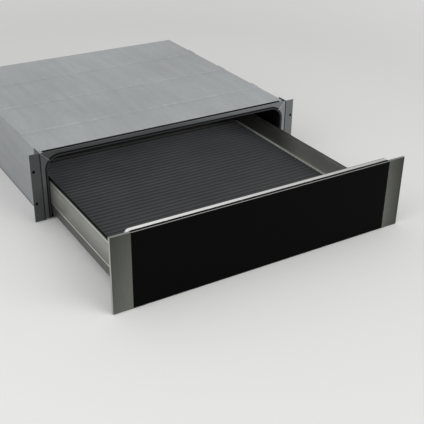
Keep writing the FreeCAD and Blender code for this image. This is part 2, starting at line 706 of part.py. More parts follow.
def wall_insulation():
    """Dark insulation strips between tray and skins, and one behind the tray."""
    low = LEDGE_TOP + 1.4
    high = WALL_TOP - SKIN_SHEET / 2 - ROLL_DEPTH - 0.5
    strips = []
    for side in (-1, 1):
        x = side * (TRAY_HALF + DRAWER_HALF - SKIN_SHEET) / 2
        strips.append(block(x - 2.4, x + 2.4, TRAY_Y + 14, TRAY_Y + TRAY_LENGTH - 14, low, high))
    y0 = TRAY_Y + TRAY_LENGTH
    strips.append(block(-240, 240, y0, FRONT_Y + DRAWER_LENGTH - SHEET, low, high))
    return strips


def drawer_back():
    """Back panel of the drawer, closing the skins above the slides.

    Its top edge is turned forward between the skins' rolled rims.
    """
    y = FRONT_Y + DRAWER_LENGTH - SHEET / 2
    half = DRAWER_HALF - SKIN_SHEET
    panel = folded_sheet("YZ", [(y - 8, WALL_TOP - 0.5), (y, WALL_TOP - 0.5), (y, COVER_TOP + 0.1)],
                         SHEET, 0.6, -half, half)
    for side in (-1, 1):
        near, far = sorted((side * (TRAY_HALF - 1), side * (half + 1)))
        panel = panel.cut(block(near, far, y - 9, y - SHEET / 2, LEDGE_TOP, WALL_TOP + 1))
    return panel


def underside_pan():
    """Sheet pan under the tray: it closes the heater space and carries the drawer rails."""
    x = PAN_HALF - SHEET / 2
    y0 = FRONT_Y + 24
    y1 = FRONT_Y + DRAWER_LENGTH - 12
    z = PAN_BOTTOM + SHEET / 2
    flange = TRAY_FLOOR - SHEET / 2
    pan = folded_sheet("XZ", [(x - 10, flange), (x, flange), (x, z), (-x, z), (-x, flange),
                              (-x + 10, flange)], SHEET, 0.8, y0, y1)
    for y in (y0, y1 - SHEET):
        pan = pan.fuse(block(-x, x, y, y + SHEET, z, flange - 1))
    for side in (-1, 1):
        for y in row(FRONT_Y + 330, 16.0, 5):
            pan = pan.cut(block(side * 120 - 25, side * 120 + 25, y, y + 5,
                                PAN_BOTTOM - 2, PAN_BOTTOM + 3))
    return pan


def heating_element():
    """Flat serpentine heater track pressed against the tray's underside."""
    width = 14.0
    reach = 190.0
    side = 1
    path = []
    for y in row(TRAY_Y + 120, 44.0, 8):
        path += [(-side * reach, y), (side * reach, y)]
        side = -side
    return folded_sheet("XY", path, width, 0, TRAY_FLOOR - HEATER_THICK, TRAY_FLOOR)


def insulation_pad():
    """Mineral wool pad under the heater."""
    return rounded_prism("XY", -230, 230, TRAY_Y + 98, FRONT_Y + DRAWER_LENGTH - 16,
                         (8, 8, 8, 8), PAN_BOTTOM + 4, TRAY_FLOOR - HEATER_THICK)


def sensor(x, head_r):
    """Disc sensor on the tray's underside with its two blade terminals."""
    y = TRAY_Y + 60
    base = V(x, y, TRAY_FLOOR)
    down = V(0, 0, -1)
    body = flat_sided(16, head_r, 9.0, base, down)
    for side in (-1, 1):
        body = body.fuse(block(x + side * 5 - 0.4, x + side * 5 + 0.4, y - 3, y + 3, 20, 30))
    return body.removeSplitter()


def control_board():
    """Power board on the pan's floor: relay, transformer, capacitors and terminals."""
    floor = PAN_BOTTOM + SHEET
    y0 = FRONT_Y + 36
    board = block(60, 226, y0, y0 + 64, floor + 4, floor + 5.6)
    for x in (66, 220):
        for y in (y0 + 6, y0 + 58):
            board = board.fuse(block(x - 3, x + 3, y - 3, y + 3, floor, floor + 4.5))
    top = floor + 5.6
    board = board.fuse(block(80, 108, y0 + 10, y0 + 38, top, top + 16))
    board = board.fuse(block(120, 149, y0 + 12, y0 + 25, top, top + 14))
    board = board.fuse(block(160, 214, y0 + 46, y0 + 56, top, top + 10))
    for x in (130, 145):
        board = board.fuse(flat_sided(12, 5, 14, V(x, y0 + 42, top - 0.2), V(0, 0, 1)))
    return board.removeSplitter()


# Fasteners ---------------------------------------------------------------------------------------
def screw_head(centre, direction):
    """Low screw head seated on the sheet at centre, drawn with twelve flats."""
    return flat_sided(12, SCREW_HEAD_R, SCREW_HEAD_HEIGHT, centre, direction)


def casing_screws():
    """Screws that hold the lid and the rear wall, heads outside."""
    screws = []
    for x in (-BODY_HALF + 5, -90, 90, BODY_HALF - 5):
        screws.append(screw_head(V(x, BACK_Y, 125), V(0, 1, 0)))
    for side in (-1, 1):
        for y in (FACE_Y + 60, 0, BACK_Y - 60):
            screws.append(screw_head(V(side * BODY_HALF, y, 70), V(side, 0, 0)))
    return screws


def rail_screws():
    """Screws through the bracket feet into the base plate."""
    screws = []
    for side in (-1, 1):
        for y in row(RAIL_Y + 60, 165, 3):
            screws.append(screw_head(V(side * (PAN_HALF - 4), y, SHEET + 1.2), V(0, 0, 1)))
    return screws


def drawer_screws():
    """Screws in the drawer's back panel."""
    y = FRONT_Y + DRAWER_LENGTH
    return [screw_head(V(x, y, 57), V(0, 1, 0)) for x in (-250, -125, 125, 250)]


def main():
    os.makedirs("parts", exist_ok=True)
    pairs = {
        "side_wall": side_wall(),
        "mounting_flange": mounting_flange(),
        "rail_bracket": rail_bracket(),
        "front_strip": front_strip(),
        "side_skin": side_skin(),
        "rail_cover": rail_cover(),
        "outer_rail": outer_rail(RAIL_Y),
        "middle_rail": middle_rail(RAIL_Y - OPEN_AT_REST / 2),
        "inner_rail": inner_rail(RAIL_Y - OPEN_AT_REST),
    }
    for name, shape in pairs.items():
        save(name + "_right", shape)
        save(name + "_left", mirrored(shape))

    cage_start = RAIL_Y + (SLIDE_LENGTH - CAGE_LENGTH) / 2
    outer_cage = ball_cage(OUTER_BALL_U, OUTER_BALL_W, 1.6, cage_start - OPEN_AT_REST / 4)
    inner_cage = ball_cage(INNER_BALL_U, inner_ball_w(), 4.2, cage_start - 3 * OPEN_AT_REST / 4)
    for name, solids in (("outer_ball_cage", outer_cage), ("inner_ball_cage", inner_cage)):
        save(name + "_right", solids)
        save(name + "_left", [mirrored(solid) for solid in solids])

    for name, shape in front_frame().items():
        save(name, shape)

    single = {
        "base_plate": base_plate,
        "rear_wall": rear_wall,
        "top_cover": top_cover,
        "opening_seal": opening_seal,
        "terminal_box": terminal_box,
        "supply_inlet": supply_inlet,
        "latch_housing": latch_housing,
        "latch_plunger": latch_plunger,
        "door_switch": door_switch,
        "casing_screws": casing_screws,
        "rail_screws": rail_screws,
        "front_glass": front_glass,
        "front_carrier": front_carrier,
        "front_spacer": front_spacer,
        "inner_front": inner_front,
        "selector_switch": selector_switch,
        "function_knob": function_knob,
        "tray": tray,
        "heated_plate": heated_plate,
        "ribbed_mat": ribbed_mat,
        "wall_insulation": wall_insulation,
        "drawer_back": drawer_back,
        "underside_pan": underside_pan,
        "heating_element": heating_element,
        "insulation_pad": insulation_pad,
        "control_board": control_board,
        "drawer_screws": drawer_screws,
    }
    for name, make in single.items():
        save(name, make())
    save("thermostat", sensor(-60.0, 9.0))
    save("thermal_limiter", sensor(-20.0, 8.0))


main()
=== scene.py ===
"""Dresses the warming drawer: finishes, small repeated parts and the studio around it.

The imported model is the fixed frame.  Rigid sheet parts whose edges show get a finished copy with
merged faces, small bevels and smooth bends.  Screws, balls, ribs, louvres and dial marks are
grown with geometry nodes.  Units are metres, and millimetres in names that end in _MM.
"""
import json
from functools import partialmethod
from math import cos, pi, radians, sin

import bmesh
import bpy
from bpy.props import FloatProperty, FloatVectorProperty, IntProperty, PointerProperty
from bpy.types import Operator, Panel, PropertyGroup
from mathutils import Matrix, Vector

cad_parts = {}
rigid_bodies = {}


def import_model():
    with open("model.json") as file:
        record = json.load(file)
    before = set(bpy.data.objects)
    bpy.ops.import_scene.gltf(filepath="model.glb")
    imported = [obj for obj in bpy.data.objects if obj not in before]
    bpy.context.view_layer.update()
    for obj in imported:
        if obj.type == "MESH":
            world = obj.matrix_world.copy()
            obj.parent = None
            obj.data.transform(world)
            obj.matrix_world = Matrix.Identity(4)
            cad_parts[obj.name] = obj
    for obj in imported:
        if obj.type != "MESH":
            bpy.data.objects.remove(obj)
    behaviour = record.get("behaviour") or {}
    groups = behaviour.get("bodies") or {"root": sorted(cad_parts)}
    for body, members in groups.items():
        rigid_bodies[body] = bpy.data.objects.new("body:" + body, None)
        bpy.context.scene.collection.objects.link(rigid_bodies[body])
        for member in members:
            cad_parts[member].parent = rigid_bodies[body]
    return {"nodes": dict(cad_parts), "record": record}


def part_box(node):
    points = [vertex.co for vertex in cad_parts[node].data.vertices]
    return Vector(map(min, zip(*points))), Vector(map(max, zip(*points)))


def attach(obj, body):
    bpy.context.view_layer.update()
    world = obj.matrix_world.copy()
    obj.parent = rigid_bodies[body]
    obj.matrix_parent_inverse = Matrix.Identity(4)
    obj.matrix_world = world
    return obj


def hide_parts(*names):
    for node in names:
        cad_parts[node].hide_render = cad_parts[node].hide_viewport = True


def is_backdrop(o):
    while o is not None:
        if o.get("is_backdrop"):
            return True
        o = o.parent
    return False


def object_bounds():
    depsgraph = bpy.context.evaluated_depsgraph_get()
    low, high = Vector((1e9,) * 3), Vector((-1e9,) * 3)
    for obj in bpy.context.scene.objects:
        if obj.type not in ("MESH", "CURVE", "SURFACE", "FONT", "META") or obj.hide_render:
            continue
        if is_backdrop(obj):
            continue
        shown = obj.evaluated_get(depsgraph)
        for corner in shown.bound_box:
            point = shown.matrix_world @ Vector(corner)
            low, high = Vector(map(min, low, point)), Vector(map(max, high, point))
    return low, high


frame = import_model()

bl_info = {
    "name": "Warming drawer looks",
    "version": (1, 0, 0),
    "blender": (4, 5, 0),
    "location": "3D View > Sidebar > Warming drawer",
    "description": "Finishes, small parts and studio for a built-in warming drawer",
    "category": "Object",
}

MM = 0.001
CAD_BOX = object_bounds()
SLOT_OF = {part["node"]: part["material_slot"] for part in frame["record"]["subparts"]}
BODY_OF = {node: body for body, nodes in frame["record"]["behaviour"]["bodies"].items()
           for node in nodes}
HANDS = {"left": -1.0, "right": 1.0}
TOUCH = 1e-6                    # points nearer than this are one

# Places read from the frame
FACE_LOW, FACE_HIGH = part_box("front_glass")
INNER_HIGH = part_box("inner_front")[1]
KNOB_LOW, KNOB_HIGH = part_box("function_knob")
MAT_LOW, MAT_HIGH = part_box("ribbed_mat")
REAR_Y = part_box("rear_wall")[1].y
SIDE_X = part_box("side_wall_right")[1].x
FRAME_LOW, FRAME_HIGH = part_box("frame_top_rail")
FLANGE_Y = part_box("mounting_flange_right")[0].y
SKIN_LOW, SKIN_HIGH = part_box("side_skin_right")

# Where finishes and painted light and shade change
STRIP_X_MM = (261.0, 297.0)
FRONT_Z_MM = (1.0, 141.0)
BAR_X_MM = (-240.0, 240.0)
BAR_BEND_Y_MM = -593.2  # behind it the inner front's top bends down and takes painted shade
RIM_Z_MM = 77.0
SKIN_Z_MM = (38.0, 66.0)
LEDGE_Z_MM = (43.9, 45.2)
GROOVE_Z_MM = (45.0, 45.7)  # span of the painted shade in the mat's grooves, from its sheet to just under the ribs' crests
FRAME_X_MM = (-270.0, 270.0)
CORNER_X_MM, CORNER_Z_MM = 239.0, 102.0  # centre of the opening's corner arcs
RAIL_REACH_MM, POST_REACH_MM = 31.2, 30.2  # from there to the shadow line's far side
GAP_X_MM = (275.9, 278.3)  # the gap beside the frame and the flange's edge
CASING_CENTRE = (0.0, 0.0, 0.069)

# Places of the small parts
BUSH_X, BUSH_LEVELS = 291.3 * MM, (39.0 * MM, 105.0 * MM)
MITRE_OUTER_X, MITRE_INNER_X, MITRE_INNER_Z = 275.6 * MM, 259.1 * MM, 122.1 * MM
SEAM_Z = 34 * MM

# Louvres: level of a row, its first place and pitch, the hoods' number, width and height
REAR_LOUVRES_MM = (104.0, 92.5, 16.0, 9, 6.2, 28.0)
SIDE_LOUVRES_MM = (100.0, 134.0, 14.0, 6, 5.2, 36.0)

# Studio; the lamps give place, target, size and power
WHITE = (1.0, 1.0, 1.0, 1.0)
BACKDROP = 0.85
ROOM = 0.55
LAMPS = {
    "key_lamp": ((1.4, -3.6, 1.95), (0.0, -0.25, 0.05), 3.4, 80.0),
    "fill_lamp": ((-1.7, -0.9, 1.5), (0.0, -0.3, 0.05), 1.6, 14.0),
}
CAMERA_PLACE = (-0.7111, -1.5730, 0.7527)
CAMERA_TURN = (31.60, 28.48, 0.85)  # yaw, pitch and roll in degrees
CAMERA_LENS = 68.44  # for a picture 36 mm wide


# Sizes and colours a user would change
def length(name, text, value_mm):
    return FloatProperty(name=name, description=text, default=value_mm * MM, min=0.0, max=1.0,
                         unit="LENGTH", subtype="DISTANCE", precision=5)


def colour(name, text, value):
    return FloatVectorProperty(name=name, description=text, default=value, size=3,
                               min=0.0, max=1.0, subtype="COLOR")


class WarmingDrawerSizes(PropertyGroup):
    """Sizes of the small parts that are grown on the frame."""

    edge: length("Sheet edge", "Bevel on folded and cut sheet edges", 0.3)
    glass_edge: length("Glass edge", "Polish bevel on the glass's sides and foot", 0.25)
    glass_arris: length("Glass arris", "Ground chamfer on the glass's upper front edge", 0.85)
    rib_pitch: length("Rib pitch", "Distance between the mat's ribs", 12.2)
    rib_groove: length("Rib groove", "Gap between two ribs", 1.4)
    rib_height: length("Rib height", "Rise of a rib above the mat's sheet", 1.0)
    screw_radius: length("Screw head radius", "Radius of the pan heads", 3.2)
    screw_height: length("Screw head height", "Height of the pan heads", 1.8)
    ball_radius: length("Ball radius", "Radius of the slide's steel balls", 1.3)
    louvre_lift: length("Louvre lift", "How far a pressed louvre stands off its wall", 2.4)
    bead_radius: length("Seam bead radius", "Radius of the bead along the drawer side's foot", 0.9)
    lip_rise: length("Lip rise", "How far the tray's lip stands over the drawer sides", 3.0)
    mitre_width: length("Mitre width", "Width of the ground weld on the frame's mitres", 1.1)
    flutes: IntProperty(name="Flutes", description="Grip flutes round the knob", default=24, min=6)


class WarmingDrawerColours(PropertyGroup):
    """Base colours of the finishes, in linear light."""

    glass: colour("Front glass", "Black print behind the front glass", (0.0019, 0.0019, 0.0019))
    strip: colour("Side strips", "Graphite brushed steel of the front", (0.112, 0.116, 0.104))
    bright: colour("Bright steel", "Polished inner front", (0.80, 0.80, 0.79))
    skin: colour("Drawer sides", "Satin steel of the drawer", (0.27, 0.275, 0.255))
    cover: colour("Rail covers", "Lower strips of the drawer sides", (0.115, 0.118, 0.110))
    tray: colour("Tray", "Satin steel inside the drawer", (0.172, 0.176, 0.163))
    frame: colour("Front frame", "Satin coat of frame and flanges", (0.090, 0.095, 0.098))
    zinc: colour("Galvanised sheet", "Casing sheet", (0.37, 0.385, 0.395))
    slide: colour("Slides", "Zinc-plated rolled steel", (0.55, 0.57, 0.59))
    seal: colour("Seal", "Rubber round the opening", (0.038, 0.039, 0.041))
    # Painted shade for the dark of the closed cavity, on the casing's inner faces
    lining: colour("Cavity shade", "Painted shade inside the casing", (0.004, 0.004, 0.004))
    # The black coat is partly painted shade for the gap between the glass and the inner front
    carrier: colour("Carrier", "Black coat of the sheet behind the glass", (0.008, 0.008, 0.008))
    mat: colour("Mat", "Anti-slip mat", (0.0385, 0.0398, 0.0420))
    floor: colour("Floor", "Studio floor", (0.80, 0.80, 0.79))


def sizes():
    return bpy.context.scene.warming_drawer_sizes


def colours():
    return bpy.context.scene.warming_drawer_colours


# Node trees
class Graph:
    """A node tree in the making."""

    def __init__(self, tree):
        self.tree = tree
        self.nodes = tree.nodes
        self.links = tree.links

    def put(self, socket, value):
        """Link a value to an input or set it."""
        value = getattr(value, "socket", value)
        if isinstance(value, bpy.types.NodeSocket):
            self.links.new(value, socket)
        else:
            socket.default_value = value

    def add(self, kind, inputs=None, **settings):
        """A new node, by default a shader node; a list goes into an input of several links."""
        node = self.nodes.new(kind if "Node" in kind else "ShaderNode" + kind)
        for key, value in settings.items():
            setattr(node, key, value)
        for key, value in (inputs or {}).items():
            for source in value if isinstance(value, list) else [value]:
                self.put(node.inputs[key], source)
        return node

    def value(self, kind, inputs=None, output=0, **settings):
        """One output of a new node."""
        return Value(self, self.add(kind, inputs, **settings).outputs[output])


class Value:
    """An output in a node tree; arithmetic on it adds nodes."""

    def __init__(self, graph, socket):
        self.graph = graph
        self.socket = socket

    def maths(self, operation, other=0.0, swap=False):
        first, second = (other, self) if swap else (self, other)
        return self.graph.value("Math", {0: first, 1: second}, operation=operation)

    __mul__ = partialmethod(maths, "MULTIPLY")
    __add__ = partialmethod(maths, "ADD")
    __sub__ = partialmethod(maths, "SUBTRACT")
    __rsub__ = partialmethod(maths, "SUBTRACT", swap=True)
    __truediv__ = partialmethod(maths, "DIVIDE")
    __rtruediv__ = partialmethod(maths, "DIVIDE", swap=True)
    __lt__ = partialmethod(maths, "LESS_THAN")
    __gt__ = partialmethod(maths, "GREATER_THAN")
    __abs__ = partialmethod(maths, "ABSOLUTE")
    __neg__ = partialmethod(maths, "MULTIPLY", -1.0)
    higher = partialmethod(maths, "MAXIMUM")
    root = partialmethod(maths, "SQRT")
    sign = partialmethod(maths, "SIGN")

    def spread(self, low, high, start=0.35, end=0.65):
        """The stretch from start to end, noise's usual band, mapped to low..high."""
        return self.graph.value("MapRange", {
            "Value": self, "From Min": start, "From Max": end, "To Min": low, "To Max": high})

    def around(self, swing, middle=1.0):
        """Noise mapped to the middle, give or take the swing."""
        return self.spread(middle - swing, middle + swing)

    def over(self, limit, soft=0.04):
        """1 over the limit and 0 under it, with a short ramp between."""
        return self.spread(0.0, 1.0, limit - soft, limit + soft)

    def blend(self, first, second):
        """A number between two numbers."""
        return self.graph.value("Mix", {"Factor": self, 2: first, 3: second}, data_type="FLOAT")

    def mix(self, first, second):
        """A colour between two colours."""
        return self.graph.value("Mix", {"Factor": self, 6: rgba(first), 7: rgba(second)}, 2,
                                data_type="RGBA")


def rgba(tint):
    return tint if isinstance(tint, Value) else (*tuple(tint)[:3], 1.0)


# Finishes
class Finish(Graph):
    """A material in the making: one Principled shader on object coordinates."""

    def __init__(self, name, roughness, metallic=0.0, specular=0.5):
        self.material = bpy.data.materials.new(name)
        self.material.use_nodes = True
        super().__init__(self.material.node_tree)
        self.shader = self.nodes["Principled BSDF"]
        self.set("Roughness", roughness)
        self.set("Metallic", metallic)
        self.set("Specular IOR Level", specular)
        self.place = self.value("TexCoord", output="Object")

    def set(self, name, value):
        self.put(self.shader.inputs[name], value)

    def coat(self, tint, roughness=None, relief=None):
        """The material in a colour, with a relief of (height, depth, strength)."""
        self.set("Base Color", tint)
        if roughness:
            self.set("Roughness", roughness)
        if relief:
            height, depth, strength = relief
            self.set("Normal", self.value("Bump", {
                "Height": height, "Distance": depth, "Strength": strength}))
        return self.material

    def noise(self, scale, detail=3.0, stretch=(1.0, 1.0, 1.0), rough=0.5):
        """Noise, drawn out along the axes with a small stretch."""
        placed = self.value("Mapping", {"Vector": self.place, "Scale": stretch})
        return self.value("TexNoise", {
            "Vector": placed, "Scale": scale, "Detail": detail, "Roughness": rough}, "Fac")

    def cells(self, scale, output):
        return self.value("TexVoronoi", {"Vector": self.place, "Scale": scale}, output)

    def shade(self, tint, factor):
        """Tint times a brightness factor."""
        tint = tint if isinstance(tint, Value) else tuple(tint)[:3]
        return self.value("VectorMath", {0: tint, "Scale": factor}, operation="SCALE")

    def at(self, axis):
        """Place along an axis of the part, in millimetres."""
        return self.value("SeparateXYZ", {"Vector": self.place}, axis) * (1.0 / MM)

    def facing(self, axis, normal="True Normal"):
        """How far a surface faces along an axis of the part, from -1 to 1."""
        way = self.value("NewGeometry", output=normal)
        return self.value("SeparateXYZ", {"Vector": way}, axis)

    def outboard(self, normal="True Normal"):
        """How far a surface faces away from the middle of the drawer."""
        return self.facing("X", normal) * self.at("X").sign()

    def inward(self, centre):
        """1 where a surface faces the centre of the casing."""
        arm = self.value("VectorMath", {0: self.place, 1: centre}, operation="SUBTRACT")
        arm = self.value("VectorMath", {0: arm}, operation="NORMALIZE")
        way = self.value("NewGeometry", output="True Normal")
        dot = self.value("VectorMath", {0: way, 1: arm}, "Value", operation="DOT_PRODUCT")
        return dot < -0.12


GRAIN = {"X": (0.02, 1.0, 1.0), "Y": (1.0, 0.02, 1.0), "Z": (1.0, 1.0, 0.02)}


def brushed(name, tint, grain, roughness, tone=None, streak=0.08, cloud=0.06, relief=0.00002,
            wander=0.045):
    """Brushed metal: fine and broad streaks along the grain over a soft cloudiness."""
    finish = Finish(name, roughness, metallic=1.0)
    finish.set("Anisotropic", 0.4)
    fine = finish.noise(1400.0, 4.0, GRAIN[grain])
    broad = finish.noise(260.0, 3.0, GRAIN[grain])
    level = fine.around(streak) * broad.around(streak / 3) * finish.noise(9.0).around(cloud)
    return finish.coat(finish.shade(tint, level * tone(finish) if tone else level),
                       broad.around(wander, roughness), (fine, relief, 0.6))


def strip_tone(finish):
    """The front's strips: painted light towards glass and foot, painted highlights on cut edges.
    """
    across = finish.at("X")
    hand = across.over(0.0, 1.0)
    side = abs(across).spread(hand.blend(1.20, 1.24), hand.blend(0.80, 0.55), *STRIP_X_MM)
    rise = finish.at("Z").spread(hand.blend(1.48, 1.18), hand.blend(0.75, 0.86), *FRONT_Z_MM)
    # Painted light on the fronts, lighter backs, and painted highlights on tops and cut edges
    face = finish.facing("Y").over(0.5).blend(side * rise, 1.8)
    rim = finish.facing("Z").over(0.5).blend(4.2, 2.0)
    return (abs(finish.facing("Y")) < 0.9).blend(face, rim)


def bar_tone(finish):
    """The inner front: painted highlight on its top, painted shade on its rear bend, darker faces.
    """
    side = (-finish.facing("Y")).over(0.5).blend(0.85, 0.36)
    # Painted highlight along the top, fading to the right; painted shade where it bends down at
    # the back
    top = finish.at("X").spread(1.05, 0.62, *BAR_X_MM)
    bend = finish.at("Y") > BAR_BEND_Y_MM
    return finish.facing("Z").over(0.3).blend(side, bend.blend(top, 0.10))


def skin_tone(finish):
    """The drawer's sides, with a painted highlight on the rolled rim's outer quarter."""
    along = finish.at("Y")
    lit = finish.outboard("Normal").over(0.45) * finish.facing("Z", "Normal").over(0.26)
    # Painted light: lighter towards the back against the shade under the frame, and a little at
    # the very front; painted shade towards the foot
    depth = along.spread(1.28, 2.45, -335.0, -272.0) * along.spread(1.15, 1.0, -485.0, -415.0)
    height = finish.at("Z").spread(0.66, 1.0, *SKIN_Z_MM)
    # Over the rim: the painted highlight, and a painted dark reflection on the rest of the rim
    rim = finish.at("Z").over(RIM_Z_MM, 0.3)
    return depth * height * rim.blend(1.0, lit.blend(0.62, 1.25))


def wall_depth(finish):
    """Painted shade: the tray's walls darken towards the back."""
    return finish.at("Y").spread(1.36, 0.47, -342.0, -272.0)


def lip_tone(finish):
    """The tray's raised lip: painted shade on all but the face that looks into the tray."""
    dark = finish.outboard().over(-0.5)
    finish.set("Metallic", dark.blend(0.35, 0.0))
    finish.set("Specular IOR Level", dark.blend(0.5, 0.0))
    return dark.blend(wall_depth(finish), 0.05)


def cover_tone(finish):
    """The strips that cover the slides: painted light, a little lighter towards the front."""
    return finish.at("Y").spread(1.53, 1.16, -465.0, -319.0)


def tray_tone(finish):
    """The tray: walls with painted shade to the back, a ledge painted pale against the shade."""
    along, level = finish.at("Y"), finish.at("Z")
    low, high = LEDGE_Z_MM
    ledge = finish.facing("Z").over(0.9) * level.over(low, 0.1) * (level < high)
    finish.set("Metallic", ledge.blend(0.35, 0.0))
    # Painted light on the ledge that grows to the back, against the shade; painted shade over the
    # tray's last millimetres at the back
    pale = 2.35 / along.spread(1.0, 0.40, -345.0, -190.0)
    back = along.spread(1.0, 0.21, -118.0, -104.0)
    return ledge.blend(wall_depth(finish), pale) * back


def carrier_tone(finish):
    """The carrier: black behind the glass, partly as painted gap shade; dark grey on top and at
    the back.
    """
    top = finish.facing("Z").over(0.5).blend(1.0, 5.0)
    return finish.facing("Y").over(0.5).blend(top, 8.0)


def shadowed(finish, level, reach):
    """A level with shadow lines along the opening's edge and beside the flanges."""
    width = abs(finish.at("X"))
    across = (width - CORNER_X_MM).higher(0.0)
    rise = (finish.at("Z") - CORNER_Z_MM).higher(0.0)
    line = (across * across + rise * rise).root() < reach
    gap = (width > GAP_X_MM[0]) * (width < GAP_X_MM[1])
    finish.set("Specular IOR Level", line.higher(gap).blend(0.4, 0.0))
    return level * line.blend(1.0, 0.12) * gap.blend(1.0, 0.40)


def rail_tone(finish):
    """The frame's rail: painted shade at its left end, painted light to the right."""
    across = finish.at("X")
    level = across.spread(0.50, 0.85, -240.0, -100.0) * across.spread(1.0, 1.95, -20.0, 160.0)
    return shadowed(finish, level, RAIL_REACH_MM)


def post_tone(finish):
    """The frame's posts: painted light that grows to the right."""
    return shadowed(finish, finish.at("X").spread(0.72, 2.25, *FRAME_X_MM), POST_REACH_MM)


def flange_tone(finish):
    """The flanges: painted shade a little darker than the posts beside them, lighter to the right.
    """
    return shadowed(finish, finish.at("X").spread(0.54, 1.36, *FRAME_X_MM), POST_REACH_MM)


def black_glass(name):
    """Black back-printed glass: faint smears and a ground, paler arris along the top."""
    finish = Finish(name, 0.08, specular=0.028)
    smear = finish.noise(7.0, 5.0, (1.0, 1.0, 0.5)).spread(0.06, 0.14)
    arris = finish.facing("Z").over(0.4) * (-finish.facing("Y")).over(0.4)
    return finish.coat(arris.mix(colours().glass, (0.225, 0.23, 0.225)), arris.blend(smear, 0.5))


def painted(name, tint, roughness, tone=None):
    """Satin powder coat: faint orange peel and a slow drift of tone."""
    finish = Finish(name, roughness, specular=0.4)
    peel = finish.noise(900.0, 2.0)
    level = finish.noise(6.0).around(0.07)
    return finish.coat(finish.shade(tint, level * tone(finish) if tone else level),
                       peel.spread(roughness - 0.04, roughness + 0.06), (peel, 0.00004, 0.5))


def galvanised(name, tint):
    """Hot-dip zinc with small flat spangles outside, painted shade on the faces inside the casing.
    """
    finish = Finish(name, 0.5)
    spangle = finish.value("SeparateColor", {"Color": finish.cells(190.0, "Color")})
    rub = finish.noise(60.0, 4.0, (1.0, 0.1, 1.0))
    level = (spangle.spread(0.93, 1.05, 0.0, 1.0) * rub.around(0.04)
             * finish.noise(5.0).around(0.05))
    # Painted shade: faces that look into the casing are near black and dull
    shaded_inside = finish.inward(CASING_CENTRE)
    finish.set("Metallic", shaded_inside.blend(0.6, 0.0))
    finish.set("Specular IOR Level", shaded_inside.blend(0.5, 0.15))
    return finish.coat(shaded_inside.mix(finish.shade(tint, level), colours().lining),
                       shaded_inside.blend(spangle.spread(0.46, 0.56, 0.0, 1.0), 0.75))


def rubber(name, tint, roughness, dust, tone=None, specular=0.35):
    """Moulded rubber: fine grit, and a breath of pale dust on what faces up."""
    finish = Finish(name, roughness, specular=specular)
    grain = finish.noise(1600.0)
    dusty = finish.noise(14.0, 4.0).spread(0.0, 1.0) * finish.facing("Z").higher(0.0)
    tinted = dusty.mix(tint, [min(1.0, part + dust) for part in tint])
    return finish.coat(finish.shade(tinted, tone(finish)) if tone else tinted,
                       grain.around(0.08, roughness), (grain, 0.00003, 0.7))


def mat_tone(finish):
    """Ribs: painted shade in the grooves, painted light on their fronts and towards the frame."""
    along = finish.at("Y")
    groove = finish.at("Z").spread(0.42, 1.0, *GROOVE_Z_MM)
    slope = finish.facing("Y").spread(1.38, 0.74, -0.35, 0.35)
    # Painted light against the shade under the frame: the tone is divided by this fall of light
    light = along.spread(1.10, 0.31, -368.0, -178.0) * along.spread(1.0, 0.62, -178.0, -115.0)
    return groove * slope / light


def seal_tone(finish):
    """The seal: painted shade on the faces that look into the opening, a lip lighter to the right.
    """
    lip = finish.at("X").spread(0.66, 1.0, 150.0, 230.0)
    return (-finish.facing("Y")).over(0.3).blend(0.18, lip)


def pointer_paint(finish):
    """Where the knob's raised pointer takes its white paint."""
    middle = (KNOB_LOW + KNOB_HIGH) / (2 * MM)
    return ((abs(finish.at("X") - middle.x) < 0.75) * finish.at("Z").over(middle.z + 2.4)
            * finish.at("Y").over(KNOB_HIGH.y / MM - 0.6))


def plastic(name, tint, paint=None):
    """Moulded plastic with a fine spark-eroded grain, and white paint where it has any."""
    finish = Finish(name, 0.48, specular=0.45)
    grain = finish.noise(2400.0, 2.0)
    moulded = finish.shade(tint, finish.noise(25.0, 2.0).around(0.1))
    return finish.coat(paint(finish).mix(moulded, (0.70, 0.70, 0.68)) if paint else moulded,
                       grain.spread(0.42, 0.56), (grain, 0.00003, 0.6))


def wool(name, tint):
    """Pressed mineral wool: matted fibres."""
    finish = Finish(name, 0.95, specular=0.1)
    fibre = finish.noise(500.0, 6.0, (1.0, 0.25, 1.0), 0.7)
    return finish.coat(finish.shade(tint, fibre.around(0.45)), relief=(fibre, 0.0004, 0.8))


def foil(name, tint):
    """Crinkled aluminium foil."""
    finish = Finish(name, 0.3, metallic=1.0)
    crease = finish.noise(70.0, 5.0, rough=0.65)
    return finish.coat(finish.shade(tint, crease.spread(0.85, 1.08)), crease.spread(0.22, 0.42),
                       (crease, 0.0006, 0.7))


def circuit_board(name):
    """Green solder mask on the flat of the board, dark components above it."""
    finish = Finish(name, 0.4)
    track = finish.cells(180.0, "Distance").spread(0.0, 1.0, 0.2, 0.6)
    mask = track.mix((0.02, 0.10, 0.04), (0.03, 0.16, 0.07))
    return finish.coat((finish.facing("Z") > 0.5).mix((0.03, 0.03, 0.035), mask))


